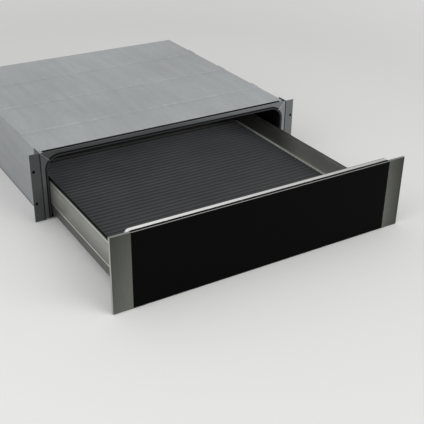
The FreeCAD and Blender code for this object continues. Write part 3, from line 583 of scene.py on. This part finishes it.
def make_finishes():
    """A material for each slot of the record, and a few shades, by name."""
    tint = colours()
    dark = (0.022, 0.022, 0.024)
    recipes = {
        "black_glass": (black_glass,),
        "front_steel": (brushed, tint.strip, "Z", 0.36, strip_tone),
        "bright_steel": (brushed, tint.bright, "X", 0.33, bar_tone, 0.03, 0.03, 0.000002, 0.012),
        "drawer_steel": (brushed, tint.skin, "Y", 0.40, skin_tone),
        "frame_paint": (painted, tint.frame, 0.42, post_tone),
        "rail_paint": (painted, tint.frame, 0.42, rail_tone),
        "flange_paint": (painted, tint.frame, 0.42, flange_tone),
        "galvanised": (galvanised, tint.zinc),
        "slide_steel": (brushed, tint.slide, "Y", 0.30),
        "seal_rubber": (rubber, tint.seal, 0.6, 0.01, seal_tone, 0.12),
        "mat_rubber": (rubber, tint.mat, 0.7, 0.006, mat_tone),
        # Near black, partly painted shade for the dark inside the screw holes
        "bush_rubber": (rubber, (0.004, 0.004, 0.0045), 0.75, 0.0, None, 0.1),
        "plate_glass": (painted, (0.02, 0.02, 0.022), 0.12),
        "black_plastic": (plastic, dark),
        "knob_plastic": (plastic, dark, pointer_paint),
        "grey_plastic": (plastic, (0.22, 0.22, 0.23)),
        "wool": (wool, (0.03, 0.03, 0.03)),
        "heater": (foil, (0.70, 0.70, 0.68)),
        "board": (circuit_board,),
        "screw_steel": (brushed, (0.50, 0.51, 0.53), "X", 0.30),
        "tray_steel": (brushed, tint.tray, "X", 0.42, tray_tone),
        "lip_steel": (brushed, tint.tray, "Y", 0.42, lip_tone),
        "cover_steel": (brushed, tint.cover, "Y", 0.45, cover_tone),
        # Pale steel, partly a painted highlight along the seam
        "seam_steel": (brushed, (0.66, 0.66, 0.64), "Y", 0.35),
        # Pale steel, partly a painted highlight on the mitres
        "mitre_steel": (brushed, (0.62, 0.63, 0.64), "X", 0.40),
        "carrier_coat": (painted, tint.carrier, 0.75, carrier_tone),
        "dial_print": (painted, (0.03, 0.03, 0.032), 0.5),
    }
    return {name: maker(name, *given) for name, (maker, *given) in recipes.items()}


FINISHES = {}


def paint(piece, finish):
    piece.data.materials.clear()
    piece.data.materials.append(FINISHES[finish])


# Mesh helpers
def linked(name, data):
    """A new object in the scene."""
    made = bpy.data.objects.new(name, data)
    bpy.context.scene.collection.objects.link(made)
    return made


def new_piece(name, mesh, body, finish, slot, replaced=()):
    piece = linked(name, mesh)
    paint(piece, finish)
    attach(piece, body)
    if replaced:
        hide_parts(*replaced)


def merged(node):
    """Working copy of a CAD node without doubled points."""
    work = bmesh.new()
    work.from_mesh(frame["nodes"][node].data)
    bmesh.ops.remove_doubles(work, verts=work.verts, dist=TOUCH)
    return work


def plain(work, name, turned_out=False):
    """Mesh of a working copy, with its faces turned outward where asked."""
    if turned_out:
        bmesh.ops.recalc_face_normals(work, faces=work.faces)
    mesh = bpy.data.meshes.new(name)
    work.to_mesh(mesh)
    work.free()
    return mesh


def smoothed(mesh, sharp):
    """The mesh, smooth but for the edges over a sharp angle in degrees."""
    mesh.shade_smooth()
    mesh.set_sharp_from_angle(angle=radians(sharp))
    return mesh


def baked(holder):
    """Plain mesh of an object with its modifiers; the object is removed."""
    graph = bpy.context.evaluated_depsgraph_get()
    mesh = bpy.data.meshes.new_from_object(holder.evaluated_get(graph), depsgraph=graph)
    bpy.data.batch_remove([holder, holder.data])
    return mesh


def block(work, place, size):
    """Add a box that a matrix turns and places, and return its edges."""
    made = bmesh.ops.create_cube(work, size=1.0, matrix=place @ Matrix.Diagonal((*size, 1.0)))
    return list(dict.fromkeys(edge for vert in made["verts"] for edge in vert.link_edges))


def bevelled(work, edges, width, segments=2):
    bmesh.ops.bevel(work, geom=edges, offset=width, segments=segments, affect="EDGES",
                    clamp_overlap=True)


def lathe(work, centre, profile, steps=40, flutes=0):
    """Turn a profile in millimetres about an axis along Y.

    Its rows give height, radius and, where the surface is fluted, the flutes' depth.
    """
    rings = []
    for height, radius, *depth in profile:
        ring = []
        for step in range(steps if radius else 1):
            turn = 2 * pi * step / steps
            reach = radius + sum(depth) * (cos(flutes * turn) - 1) / 2
            place = Vector((reach * cos(turn), height, reach * sin(turn)))
            ring.append(work.verts.new(centre + place * MM))
        rings.append(ring)
    for near, far in zip(rings, rings[1:]):
        count = max(len(near), len(far))
        for step in range(count):
            after = (step + 1) % count
            loop = [near[step % len(near)], near[after % len(near)], far[after % len(far)],
                    far[step % len(far)]]
            work.faces.new(list(dict.fromkeys(loop)))


def islands(work):
    """Groups of joined vertices, each with its lowest and highest corner."""
    seen_verts = set()
    for start in list(work.verts):
        if start in seen_verts:
            continue
        seen_verts.add(start)
        group = [start]
        for vert in group:
            for edge in vert.link_edges:
                other = edge.other_vert(vert)
                if other not in seen_verts:
                    seen_verts.add(other)
                    group.append(other)
        yield group, *(Vector([pick(vert.co[axis] for vert in group) for axis in range(3)])
                       for pick in (min, max))


def point_mesh(places, facings=None):
    """Loose points, with the way that each one faces as an attribute."""
    mesh = bpy.data.meshes.new("points")
    mesh.from_pydata([tuple(place) for place in places], [], [])
    if facings:
        facing = mesh.attributes.new("facing", "FLOAT_VECTOR", "POINT")
        facing.data.foreach_set("vector", [value for way in facings for value in way])
    return mesh


def finished_copy(node, finish=None, fineness=1.0):
    """Merged copy of a CAD node with small bevels, which stands for the node."""
    name = node + "_finished"
    work = merged(node)
    bmesh.ops.dissolve_limit(work, angle_limit=radians(0.5), verts=work.verts,
                             edges=work.edges)
    mesh = plain(work, name)
    stored = mesh.attributes.get("custom_normal")
    if stored:
        mesh.attributes.remove(stored)      # the merged faces have normals of their own
    mesh.shade_smooth()
    holder = linked("bevelling", mesh)
    bevel = holder.modifiers.new("edges", "BEVEL")
    bevel.width = sizes().edge * fineness
    bevel.segments = 2
    bevel.limit_method = "ANGLE"
    bevel.angle_limit = radians(20)
    bevel.harden_normals = True
    bevel.miter_outer = "MITER_ARC"
    made = baked(holder)
    made.name = name
    new_piece(name, made, BODY_OF[node], finish or SLOT_OF[node], SLOT_OF[node], (node,))


# Geometry node helpers
SOCKET_KIND = {float: "NodeSocketFloat", int: "NodeSocketInt", Vector: "NodeSocketVector"}


class Tree(Graph):
    """A geometry node tree in the making, with named inputs for its sizes."""

    def __init__(self, name, values):
        super().__init__(bpy.data.node_groups.new(name, "GeometryNodeTree"))
        interface = self.tree.interface
        for way in ("INPUT", "OUTPUT"):
            interface.new_socket(name="Geometry", in_out=way, socket_type="NodeSocketGeometry")
        self.values = {}
        for label, value in values.items():
            socket = interface.new_socket(
                name=label, in_out="INPUT", socket_type=SOCKET_KIND[type(value)])
            self.values[socket.identifier] = value
        given = self.add("NodeGroupInput").outputs[:-1]
        self.given = [Value(self, socket) for socket in given]

    def vector(self, x=0.0, y=0.0, z=0.0):
        return self.value("CombineXYZ", {0: x, 1: y, 2: z})

    def place(self):
        """The X, Y and Z of each point."""
        split = self.add("SeparateXYZ", {0: self.value("GeometryNodeInputPosition")})
        return [Value(self, socket) for socket in split.outputs]

    def turn(self, **settings):
        """The turn that lays Z along the way that each point faces."""
        facing = self.value("GeometryNodeInputNamedAttribute", {"Name": "facing"},
                            data_type="FLOAT_VECTOR")
        return self.value("FunctionNodeAlignRotationToVector", {"Vector": facing}, axis="Z",
                          **settings)

    def box(self, x, y, z, centre=(0.0, 0.0, 0.0), **counts):
        """A box; the counts are its vertices along each axis."""
        cube = self.value("GeometryNodeMeshCube", {
            "Size": self.vector(x, y, z),
            **{"Vertices " + axis: count for axis, count in counts.items()}})
        return self.moved(cube, centre)

    def moved(self, shape, by, turn=(0.0, 0.0, 0.0)):
        return self.value("GeometryNodeTransform", {
            "Geometry": shape, "Translation": by, "Rotation": turn})

    def pushed(self, shape, x=0.0, y=0.0, z=0.0):
        """The shape with each point pushed by its own offset."""
        return self.value("GeometryNodeSetPosition", {
            "Geometry": shape, "Offset": self.vector(x, y, z)})

    def on_points(self, points, shape, turn=(0.0, 0.0, 0.0)):
        return self.value("GeometryNodeInstanceOnPoints", {
            "Points": points, "Instance": shape, "Rotation": turn})

    def boolean(self, operation, shapes, first=None):
        return self.value("GeometryNodeMeshBoolean", {**(first or {}), "Mesh 2": shapes},
                          operation=operation, solver="EXACT")

    def grow(self, shape, finish, points=None):
        """Realise the shape in a finish and return it as a plain mesh."""
        real = self.value("GeometryNodeRealizeInstances", {"Geometry": shape})
        self.add("NodeGroupOutput", {0: self.value("GeometryNodeSetMaterial", {
            "Geometry": real, "Material": FINISHES[finish]})})
        holder = linked("growing", points or bpy.data.meshes.new("seed"))
        modifier = holder.modifiers.new("grow", "NODES")
        modifier.node_group = self.tree
        for identifier, value in self.values.items():
            modifier[identifier] = value
        return baked(holder)


# Operators
class WARMING_OT_finishes(Operator):
    """Mix the finishes and give every CAD node its own"""

    bl_idname = "warming.finishes"
    bl_label = "Mix finishes"

    def execute(self, context):
        FINISHES.clear()
        FINISHES.update(make_finishes())
        for node, slot in SLOT_OF.items():
            paint(frame["nodes"][node], slot)
        return {"FINISHED"}


def glass():
    """The pane with a wide ground arris on its upper front edge and small ones elsewhere."""
    arris = sizes().glass_arris
    work = bmesh.new()
    top = [edge for edge in block(work, Matrix.Translation((FACE_LOW + FACE_HIGH) / 2),
                                  FACE_HIGH - FACE_LOW)
           if all(abs(v.co.z - FACE_HIGH.z) < TOUCH and abs(v.co.y - FACE_LOW.y) < TOUCH
                  for v in edge.verts)]
    bevelled(work, top, arris, 1)
    rest = [edge for edge in work.edges
            if edge.calc_face_angle() > radians(60)
            and not all(v.co.z > FACE_HIGH.z - 1.5 * arris for v in edge.verts)]
    bevelled(work, rest, sizes().glass_edge)
    name = "front_glass_finished"
    new_piece(name, plain(work, name, True), "drawer", "black_glass", "black_glass",
              ("front_glass",))


class WARMING_OT_front(Operator):
    """Finish the drawer front: glass, side strips, carrier and inner front"""

    bl_idname = "warming.front"
    bl_label = "Drawer front"

    def execute(self, context):
        glass()
        for side in HANDS:
            finished_copy("front_strip_" + side)
        finished_copy("front_carrier", "carrier_coat", 0.4)
        finished_copy("inner_front")
        return {"FINISHED"}


def lip(name, hand):
    """Thin lip of the tray, standing a little over the drawer side's rolled rim."""
    sheet, inset, root = 0.8 * MM, 8 * MM, 3.0 * MM
    rise = sizes().lip_rise
    size = Vector((sheet, SKIN_HIGH.y - SKIN_LOW.y - inset, rise + root))
    place = Vector((hand * (SKIN_LOW.x + 0.9 * MM), (SKIN_HIGH.y + SKIN_LOW.y) / 2,
                    SKIN_HIGH.z + rise - size.z / 2))
    work = bmesh.new()
    bevelled(work, block(work, Matrix.Translation(place), size), 0.15 * MM)
    new_piece(name, plain(work, name, True), "drawer", "lip_steel", "drawer_steel")


def bead(name, hand):
    """Bright bead on the seam of a drawer side and its rail cover, partly a painted highlight."""
    across, inset = hand * (SKIN_HIGH.x - 0.6 * MM), 2 * MM
    tree = Tree("Seam bead", {
        "Bead radius": sizes().bead_radius,
        "Start": Vector((across, SKIN_LOW.y + inset, SEAM_Z)),
        "End": Vector((across, SKIN_HIGH.y - inset, SEAM_Z))})
    _, radius, start, end = tree.given
    line = tree.value("GeometryNodeCurvePrimitiveLine", {"Start": start, "End": end})
    ring = tree.value("GeometryNodeCurvePrimitiveCircle", {"Resolution": 12, "Radius": radius})
    rod = tree.value("GeometryNodeCurveToMesh", {
        "Curve": line, "Profile Curve": ring, "Fill Caps": True})
    work = bmesh.new()
    work.from_mesh(tree.grow(rod, "seam_steel"))
    new_piece(name, smoothed(plain(work, name, True), 50), "drawer", "seam_steel", "drawer_steel")


class WARMING_OT_drawer_box(Operator):
    """Finish the drawer box: tray, outer skins, rail covers, back and underside"""

    bl_idname = "warming.drawer_box"
    bl_label = "Drawer box"

    def execute(self, context):
        finished_copy("tray", "tray_steel")
        for node in ("heated_plate", "drawer_back", "underside_pan"):
            finished_copy(node)
        for side, hand in HANDS.items():
            finished_copy("side_skin_" + side)
            finished_copy("rail_cover_" + side, "cover_steel")
            bead("seam_bead_" + side, hand)
            lip("tray_lip_" + side, hand)
        return {"FINISHED"}


class WARMING_OT_mat(Operator):
    """Grow the ribbed anti-slip mat"""

    bl_idname = "warming.mat"
    bl_label = "Ribbed mat"

    def execute(self, context):
        size, own = MAT_HIGH - MAT_LOW, sizes()
        base = size.z - own.rib_height
        count = int((size.y + own.rib_groove) / own.rib_pitch)
        middle = (MAT_LOW.y + MAT_HIGH.y) / 2
        first = middle - (count - 1) * own.rib_pitch / 2
        tree = Tree("Ribbed mat", {
            "Width": size.x, "Depth": size.y, "Base": base, "Rib pitch": own.rib_pitch,
            "Rib groove": own.rib_groove, "Rib height": own.rib_height, "Ribs": count,
            "First rib": Vector((0.0, first, MAT_LOW.z + base)),
            "Centre": Vector((0.0, middle, MAT_LOW.z + base / 2))})
        _, width, depth, thick, pitch, groove, rise, ribs, start, centre = tree.given
        sheet = tree.box(width, depth, thick, centre)
        wide = pitch - groove
        rib = tree.box(width, wide, rise, tree.vector(z=rise * 0.5), X=2, Y=15, Z=2)
        _, y, z = tree.place()
        along = y / (wide * 0.5)
        arch = 1.0 - along * along * 0.75
        line = tree.value("GeometryNodeMeshLine", {
            "Count": ribs, "Start Location": start, "Offset": tree.vector(y=pitch)})
        arches = tree.on_points(line, tree.pushed(rib, z=z * (arch - 1.0)))
        mesh = tree.grow(tree.value("GeometryNodeJoinGeometry", {"Geometry": [sheet, arches]}),
                         "mat_rubber")
        new_piece("mat_with_ribs", mesh, "drawer", "mat_rubber", "mat_rubber", ("ribbed_mat",))
        return {"FINISHED"}


def knob(centre):
    """A skirt and a fluted grip, with a raised pointer."""
    wide = (KNOB_HIGH.x - KNOB_LOW.x) / (2 * MM)
    tip = (KNOB_HIGH.y - centre.y) / MM - 0.8
    work = bmesh.new()
    lathe(work, centre, [
        (-4.5, 0.0), (-4.5, 2.7), (-4.2, 3.0), (0.4, 3.0), (0.4, wide - 0.5),
        (0.7, wide - 0.1), (1.2, wide), (2.6, wide - 0.2), (3.3, wide - 1.2),
        (3.5, wide - 2.4, 0.3), (4.2, wide - 2.5, 0.5), (tip - 1.4, wide - 2.9, 0.5),
        (tip - 0.4, wide - 3.3, 0.2), (tip, wide - 4.2), (tip - 0.3, wide - 5.0),
        (tip - 0.3, 0.0),
    ], sizes().flutes * 8, sizes().flutes)
    pointer = Matrix.Translation(centre + Vector((0.0, tip, 6.0)) * MM)
    bevelled(work, block(work, pointer, Vector((1.4, 1.4, 7.0)) * MM), 0.25 * MM)
    return smoothed(plain(work, "knob_fluted", True), 40)


def marks(centre):
    """Five ticks on an arc about the knob, each with its number."""
    print_depth = 0.04 * MM
    tick_radius, number_radius = 16.2 * MM, 20.5 * MM
    turns = [radians(90 + 40 * index) for index in range(5)]
    ways = [Vector((cos(turn), 0.0, sin(turn))) for turn in turns]
    tree = Tree("Dial ticks", {
        "Tick length": 2.4 * MM, "Tick width": 0.5 * MM, "Print depth": print_depth})
    points, high, wide, deep = tree.given
    shape = tree.on_points(points, tree.box(wide, deep, high), tree.turn(pivot_axis="Y"))
    places = [centre + way * tick_radius for way in ways]
    meshes = [tree.grow(shape, "dial_print", point_mesh(places, ways))]
    for index, way in enumerate(ways):
        meshes.append(digit(str(index), print_depth))
        meshes[-1].transform(Matrix.Translation(centre + way * number_radius))
    work = bmesh.new()
    for mesh in meshes:
        work.from_mesh(mesh)
    bpy.data.batch_remove(meshes)
    return plain(work, "dial_marks")


def digit(text, depth):
    """A flat number, upright and read from the drawer's side."""
    curve = bpy.data.curves.new("digit", "FONT")
    curve.body = text
    curve.size = 4.6 * MM
    curve.align_x = curve.align_y = "CENTER"
    curve.extrude = depth / 2
    curve.resolution_u = 3
    mesh = baked(linked("digit", curve))
    mesh.transform(Matrix(((-1, 0, 0, 0), (0, 0, 1, 0), (0, 1, 0, 0), (0, 0, 0, 1))))
    return mesh


class WARMING_OT_knob(Operator):
    """Turn the fluted function knob and print its dial"""

    bl_idname = "warming.knob"
    bl_label = "Knob and dial"

    def execute(self, context):
        centre = (KNOB_LOW + KNOB_HIGH) / 2
        centre.y = INNER_HIGH.y
        new_piece("knob_fluted", knob(centre), "knob", "knob_plastic", "black_plastic",
                  ("function_knob",))
        new_piece("dial_marks", marks(centre), "drawer", "dial_print", "bright_steel")
        return {"FINISHED"}


def cage(node):
    """The cage's strip without its faceted balls, and round balls in their place."""
    work = merged(node)
    small = 3.2 * sizes().ball_radius
    centres = []
    for island, low, high in list(islands(work)):
        if (high - low).y < small:
            centres.append((low + high) / 2)
            bmesh.ops.delete(work, geom=island, context="VERTS")
    tree = Tree("Balls", {"Ball radius": sizes().ball_radius})
    points, radius = tree.given
    ball = tree.value("GeometryNodeMeshUVSphere", {
        "Radius": radius, "Segments": 16, "Rings": 10})
    smooth = tree.value("GeometryNodeSetShadeSmooth", {"Geometry": ball})
    balls = tree.grow(tree.on_points(points, smooth), "slide_steel", point_mesh(centres))
    strip_faces = len(work.faces)
    work.from_mesh(balls)
    bpy.data.meshes.remove(balls)
    for index, face in enumerate(work.faces):
        face.smooth = index >= strip_faces
    name = node + "_round"
    new_piece(name, plain(work, name), BODY_OF[node], "slide_steel", "slide_steel", (node,))


class WARMING_OT_slides(Operator):
    """Finish the telescopic slides and fill their cages with round balls"""

    bl_idname = "warming.slides"
    bl_label = "Ball slides"

    def execute(self, context):
        for side in HANDS:
            for member in ("outer", "middle", "inner"):
                finished_copy(f"{member}_rail_{side}", fineness=0.6)
            for member in ("outer", "inner"):
                cage(f"{member}_ball_cage_{side}")
        return {"FINISHED"}


class WARMING_OT_casing(Operator):
    """Finish the casing: front frame, flanges, walls, lid, floor and inlet"""

    bl_idname = "warming.casing"
    bl_label = "Casing"

    def execute(self, context):
        finished_copy("frame_top_rail", "rail_paint")
        for side in HANDS:
            finished_copy("mounting_flange_" + side, "flange_paint")
        for node in ("frame_left_post", "frame_right_post", "side_wall_left", "side_wall_right",
                     "rear_wall", "top_cover", "base_plate", "opening_seal", "supply_inlet",
                     "terminal_box", "latch_housing", "latch_plunger"):
            finished_copy(node)
        return {"FINISHED"}


def screws(node):
    """A screw on the seat of each CAD head, which faces out along its thinnest axis."""
    work = merged(node)
    seats, ways = [], []
    for _, low, high in islands(work):
        size, centre = high - low, (low + high) / 2
        axis = min(range(3), key=lambda index: size[index])
        way = Vector()
        way[axis] = -1.0 if axis == 0 and centre.x <= 0 else 1.0
        seats.append(centre - way * size[axis] / 2)
        ways.append(way)
    work.free()
    tree = Tree("Pan-head screws", {
        "Head radius": sizes().screw_radius, "Head height": sizes().screw_height,
        "Recess": 0.9 * MM})
    points, radius, height, recess = tree.given
    brim = height * 0.45
    disc = tree.value("GeometryNodeMeshCylinder", {
        "Vertices": 32, "Radius": radius, "Depth": brim})
    dome = tree.value("GeometryNodeMeshCone", {
        "Vertices": 32, "Radius Top": radius * 0.72, "Radius Bottom": radius,
        "Depth": height - brim})
    head = tree.boolean("UNION", [tree.moved(disc, tree.vector(z=brim * 0.5)),
                                  tree.moved(dome, tree.vector(z=brim))])
    level = tree.vector(z=height)
    cross = [tree.box(radius, recess, height, level), tree.box(recess, radius, height, level)]
    cut = tree.boolean("DIFFERENCE", cross, {"Mesh 1": head})
    mesh = tree.grow(tree.on_points(points, cut, tree.turn()), "screw_steel",
                     point_mesh(seats, ways))
    new_piece(node + "_recessed", mesh, BODY_OF[node], "screw_steel", "screw_steel", (node,))


class WARMING_OT_screws(Operator):
    """Grow pan-head screws with a cross recess on the casing, the slides and the drawer"""

    bl_idname = "warming.screws"
    bl_label = "Screws"

    def execute(self, context):
        for node in ("casing_screws", "rail_screws", "drawer_screws"):
            screws(node)
        return {"FINISHED"}


def hoods(name, row, wall, hand, turn):
    """A half dome drawn out along each slot: shut on one flank, open on the other."""
    level, first, pitch, count, wide, high = row
    places = [(*wall((first + pitch * index) * MM), level * MM) for index in range(count)]
    tree = Tree("Louvre hoods", {
        "Hood width": wide * MM, "Hood height": high * MM, "Hand": hand,
        "Lift": sizes().louvre_lift, "Sheet": 0.8 * MM, "Turn": Vector((0.0, 0.0, turn))})
    points, width, height, side, lift, sheet, angle = tree.given
    plate = tree.box(width, sheet, height, tree.vector(y=sheet * 0.5), X=9, Y=2, Z=17)
    x, _, z = tree.place()
    flank = 0.5 - x * side / width
    end = ((abs(z) / (height * 0.5) - 0.8) / 0.2).higher(0.0)
    dome = tree.pushed(plate, y=lift * (quarter(flank) * quarter(end)))
    hood = tree.moved(dome, (0.0, 0.0, 0.0), angle)
    mesh = tree.grow(tree.on_points(points, hood), "galvanised", point_mesh(places))
    new_piece(name, smoothed(mesh, 50), "casing", "galvanised", "galvanised")


def quarter(value):
    """Height of a circle of radius 1 at a distance from its middle."""
    return (1.0 - value * value).higher(0.0).root()


class WARMING_OT_louvres(Operator):
    """Grow the pressed louvre hoods over the vent slots of the rear and side walls"""

    bl_idname = "warming.louvres"
    bl_label = "Louvres"

    def execute(self, context):
        hoods("rear_louvres", REAR_LOUVRES_MM, lambda along: (along, REAR_Y), 1.0, 0.0)
        for side, hand in HANDS.items():
            hoods("side_louvres_" + side, SIDE_LOUVRES_MM, lambda along: (hand * SIDE_X, along),
                  -hand, -hand * pi / 2)
        return {"FINISHED"}


def mitre(name, hand):
    """A ground weld from the frame's outer corner to the opening's."""
    outer = Vector((hand * MITRE_OUTER_X, FRAME_LOW.y, FRAME_HIGH.z - 0.4 * MM))
    inner = Vector((hand * MITRE_INNER_X, FRAME_LOW.y, MITRE_INNER_Z))
    way = (outer - inner).normalized()
    out = Vector((0.0, -1.0, 0.0))
    place = Matrix((way, out, way.cross(out))).transposed().to_4x4()
    place.translation = (outer + inner) / 2
    size = ((outer - inner).length, 0.3 * MM, sizes().mitre_width)
    work = bmesh.new()
    bevelled(work, block(work, place, size), 0.1 * MM)
    # The weld's pale steel is partly a painted highlight
    new_piece(name, plain(work, name, True), "casing", "mitre_steel", "frame_paint")


def bushes(name, hand):
    """A blind black bush behind each screw hole, its neck in the hole; its near black is partly
    painted shade.
    """
    profile = [(7.4, 0.0), (7.4, 1.9), (0.1, 2.1), (-0.12, 2.3), (-0.12, 2.75), (0.0, 2.95),
               (0.3, 2.95), (0.3, 2.45), (1.52, 2.45), (1.52, 3.9), (1.8, 4.2), (2.8, 4.2),
               (3.1, 3.3), (7.8, 3.1), (8.4, 2.5), (8.4, 0.0)]
    work = bmesh.new()
    for level in BUSH_LEVELS:
        lathe(work, Vector((hand * BUSH_X, FLANGE_Y, level)), profile)
    new_piece(name, smoothed(plain(work, name, True), 35), "casing", "bush_rubber",
              "frame_paint")


class WARMING_OT_trims(Operator):
    """Add the frame's ground mitres and the bushes in the flanges' screw holes"""

    bl_idname = "warming.trims"
    bl_label = "Frame trims"

    def execute(self, context):
        for side, hand in HANDS.items():
            mitre("mitre_" + side, hand)
            bushes("bushes_" + side, hand)
        return {"FINISHED"}


def seen(graph):
    """1 for rays that look at a thing straight, in a reflection or through glass."""
    path = graph.add("LightPath").outputs
    straight = Value(graph, path["Is Camera Ray"])
    return straight.higher(path["Is Glossy Ray"]).higher(path["Is Transmission Ray"])


def floor():
    """A wide pale floor that melts into the backdrop's white away from the drawer."""
    half, low = 9.0, -0.3 * MM
    mesh = bpy.data.meshes.new("studio_floor")
    mesh.from_pydata([(-half, -half, low), (half, -half, low), (half, half, low),
                      (-half, half, low)], [], [(0, 1, 2, 3)])
    finish = Finish("studio_floor", 0.9, specular=0.1)
    reach = finish.value("VectorMath", {0: finish.place}, "Value", operation="LENGTH")
    away = reach.spread(0.0, 1.0, 1.0, 3.2) * seen(finish)
    glow = finish.value("Emission", {"Color": WHITE, "Strength": BACKDROP})
    mixed = finish.value("MixShader", {0: away, 1: finish.shader.outputs[0], 2: glow})
    finish.put(finish.nodes["Material Output"].inputs["Surface"], mixed)
    mesh.materials.append(finish.coat(rgba(colours().floor)))
    floor = linked("studio_floor", mesh)
    floor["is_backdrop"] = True


def world(scene):
    """A dim room that looks as pale as the backdrop."""
    scene.world = bpy.data.worlds.new("studio")
    scene.world.use_nodes = True
    sky = Graph(scene.world.node_tree)
    sky.nodes.clear()
    room, backdrop = (sky.value("Background", {"Color": WHITE, "Strength": strength})
                      for strength in (ROOM, BACKDROP))
    mixed = sky.value("MixShader", {0: seen(sky), 1: room, 2: backdrop})
    sky.add("OutputWorld", {"Surface": mixed})


def lamp(name, place, target, size, power):
    light = bpy.data.lights.new(name, "AREA")
    light.shape = "DISK"
    light.size = size
    light.energy = power
    holder = linked(name, light)
    holder.location = place
    way = Vector(target) - Vector(place)
    holder.rotation_euler = way.to_track_quat("-Z", "Y").to_euler()


def camera(scene):
    data = bpy.data.cameras.new("studio_camera")
    data.sensor_width = 36.0
    data.lens = CAMERA_LENS
    data.clip_start = 0.05
    data.clip_end = 100.0
    yaw, pitch, roll = (radians(angle) for angle in CAMERA_TURN)
    scene.camera = linked("studio_camera", data)
    scene.camera.matrix_world = (
        Matrix.Translation(CAMERA_PLACE) @ Matrix.Rotation(-yaw, 4, "Z")
        @ Matrix.Rotation(pi / 2 - pitch, 4, "X") @ Matrix.Rotation(roll, 4, "Z"))


class WARMING_OT_stage(Operator):
    """Set the pale floor, the soft lights and the camera"""

    bl_idname = "warming.stage"
    bl_label = "Studio"

    def execute(self, context):
        scene = bpy.context.scene
        scene.view_settings.view_transform = "Standard"
        floor()
        world(scene)
        for name, settings in LAMPS.items():
            lamp(name, *settings)
        camera(scene)
        return {"FINISHED"}


class WARMING_PT_panel(Panel):
    """Sizes, colours and steps of the warming drawer"""

    bl_label = "Warming drawer"
    bl_idname = "WARMING_PT_panel"
    bl_space_type = "VIEW_3D"
    bl_region_type = "UI"
    bl_category = "Warming drawer"

    def draw(self, context):
        layout = self.layout
        for group in (sizes(), colours()):
            column = layout.column(align=True)
            for name in group.__annotations__:
                column.prop(group, name)
        for step in STEPS:
            layout.operator(step.bl_idname)


STEPS = (
    WARMING_OT_finishes,
    WARMING_OT_front,
    WARMING_OT_drawer_box,
    WARMING_OT_mat,
    WARMING_OT_knob,
    WARMING_OT_slides,
    WARMING_OT_casing,
    WARMING_OT_screws,
    WARMING_OT_louvres,
    WARMING_OT_trims,
    WARMING_OT_stage,
)
CLASSES = (WarmingDrawerSizes, WarmingDrawerColours) + STEPS + (WARMING_PT_panel,)


def register():
    for item in CLASSES:
        bpy.utils.register_class(item)
    bpy.types.Scene.warming_drawer_sizes = PointerProperty(type=WarmingDrawerSizes)
    bpy.types.Scene.warming_drawer_colours = PointerProperty(type=WarmingDrawerColours)


def unregister():
    del bpy.types.Scene.warming_drawer_sizes
    del bpy.types.Scene.warming_drawer_colours
    for item in reversed(CLASSES):
        bpy.utils.unregister_class(item)


def main():
    register()
    for step in STEPS:
        getattr(bpy.ops.warming, step.bl_idname.split(".")[1])()
    boxes = {"cad": CAD_BOX, "visual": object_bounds()}
    {name: [list(corner) for corner in box] for name, box in boxes.items()}


if __name__ == "__main__":
    main()
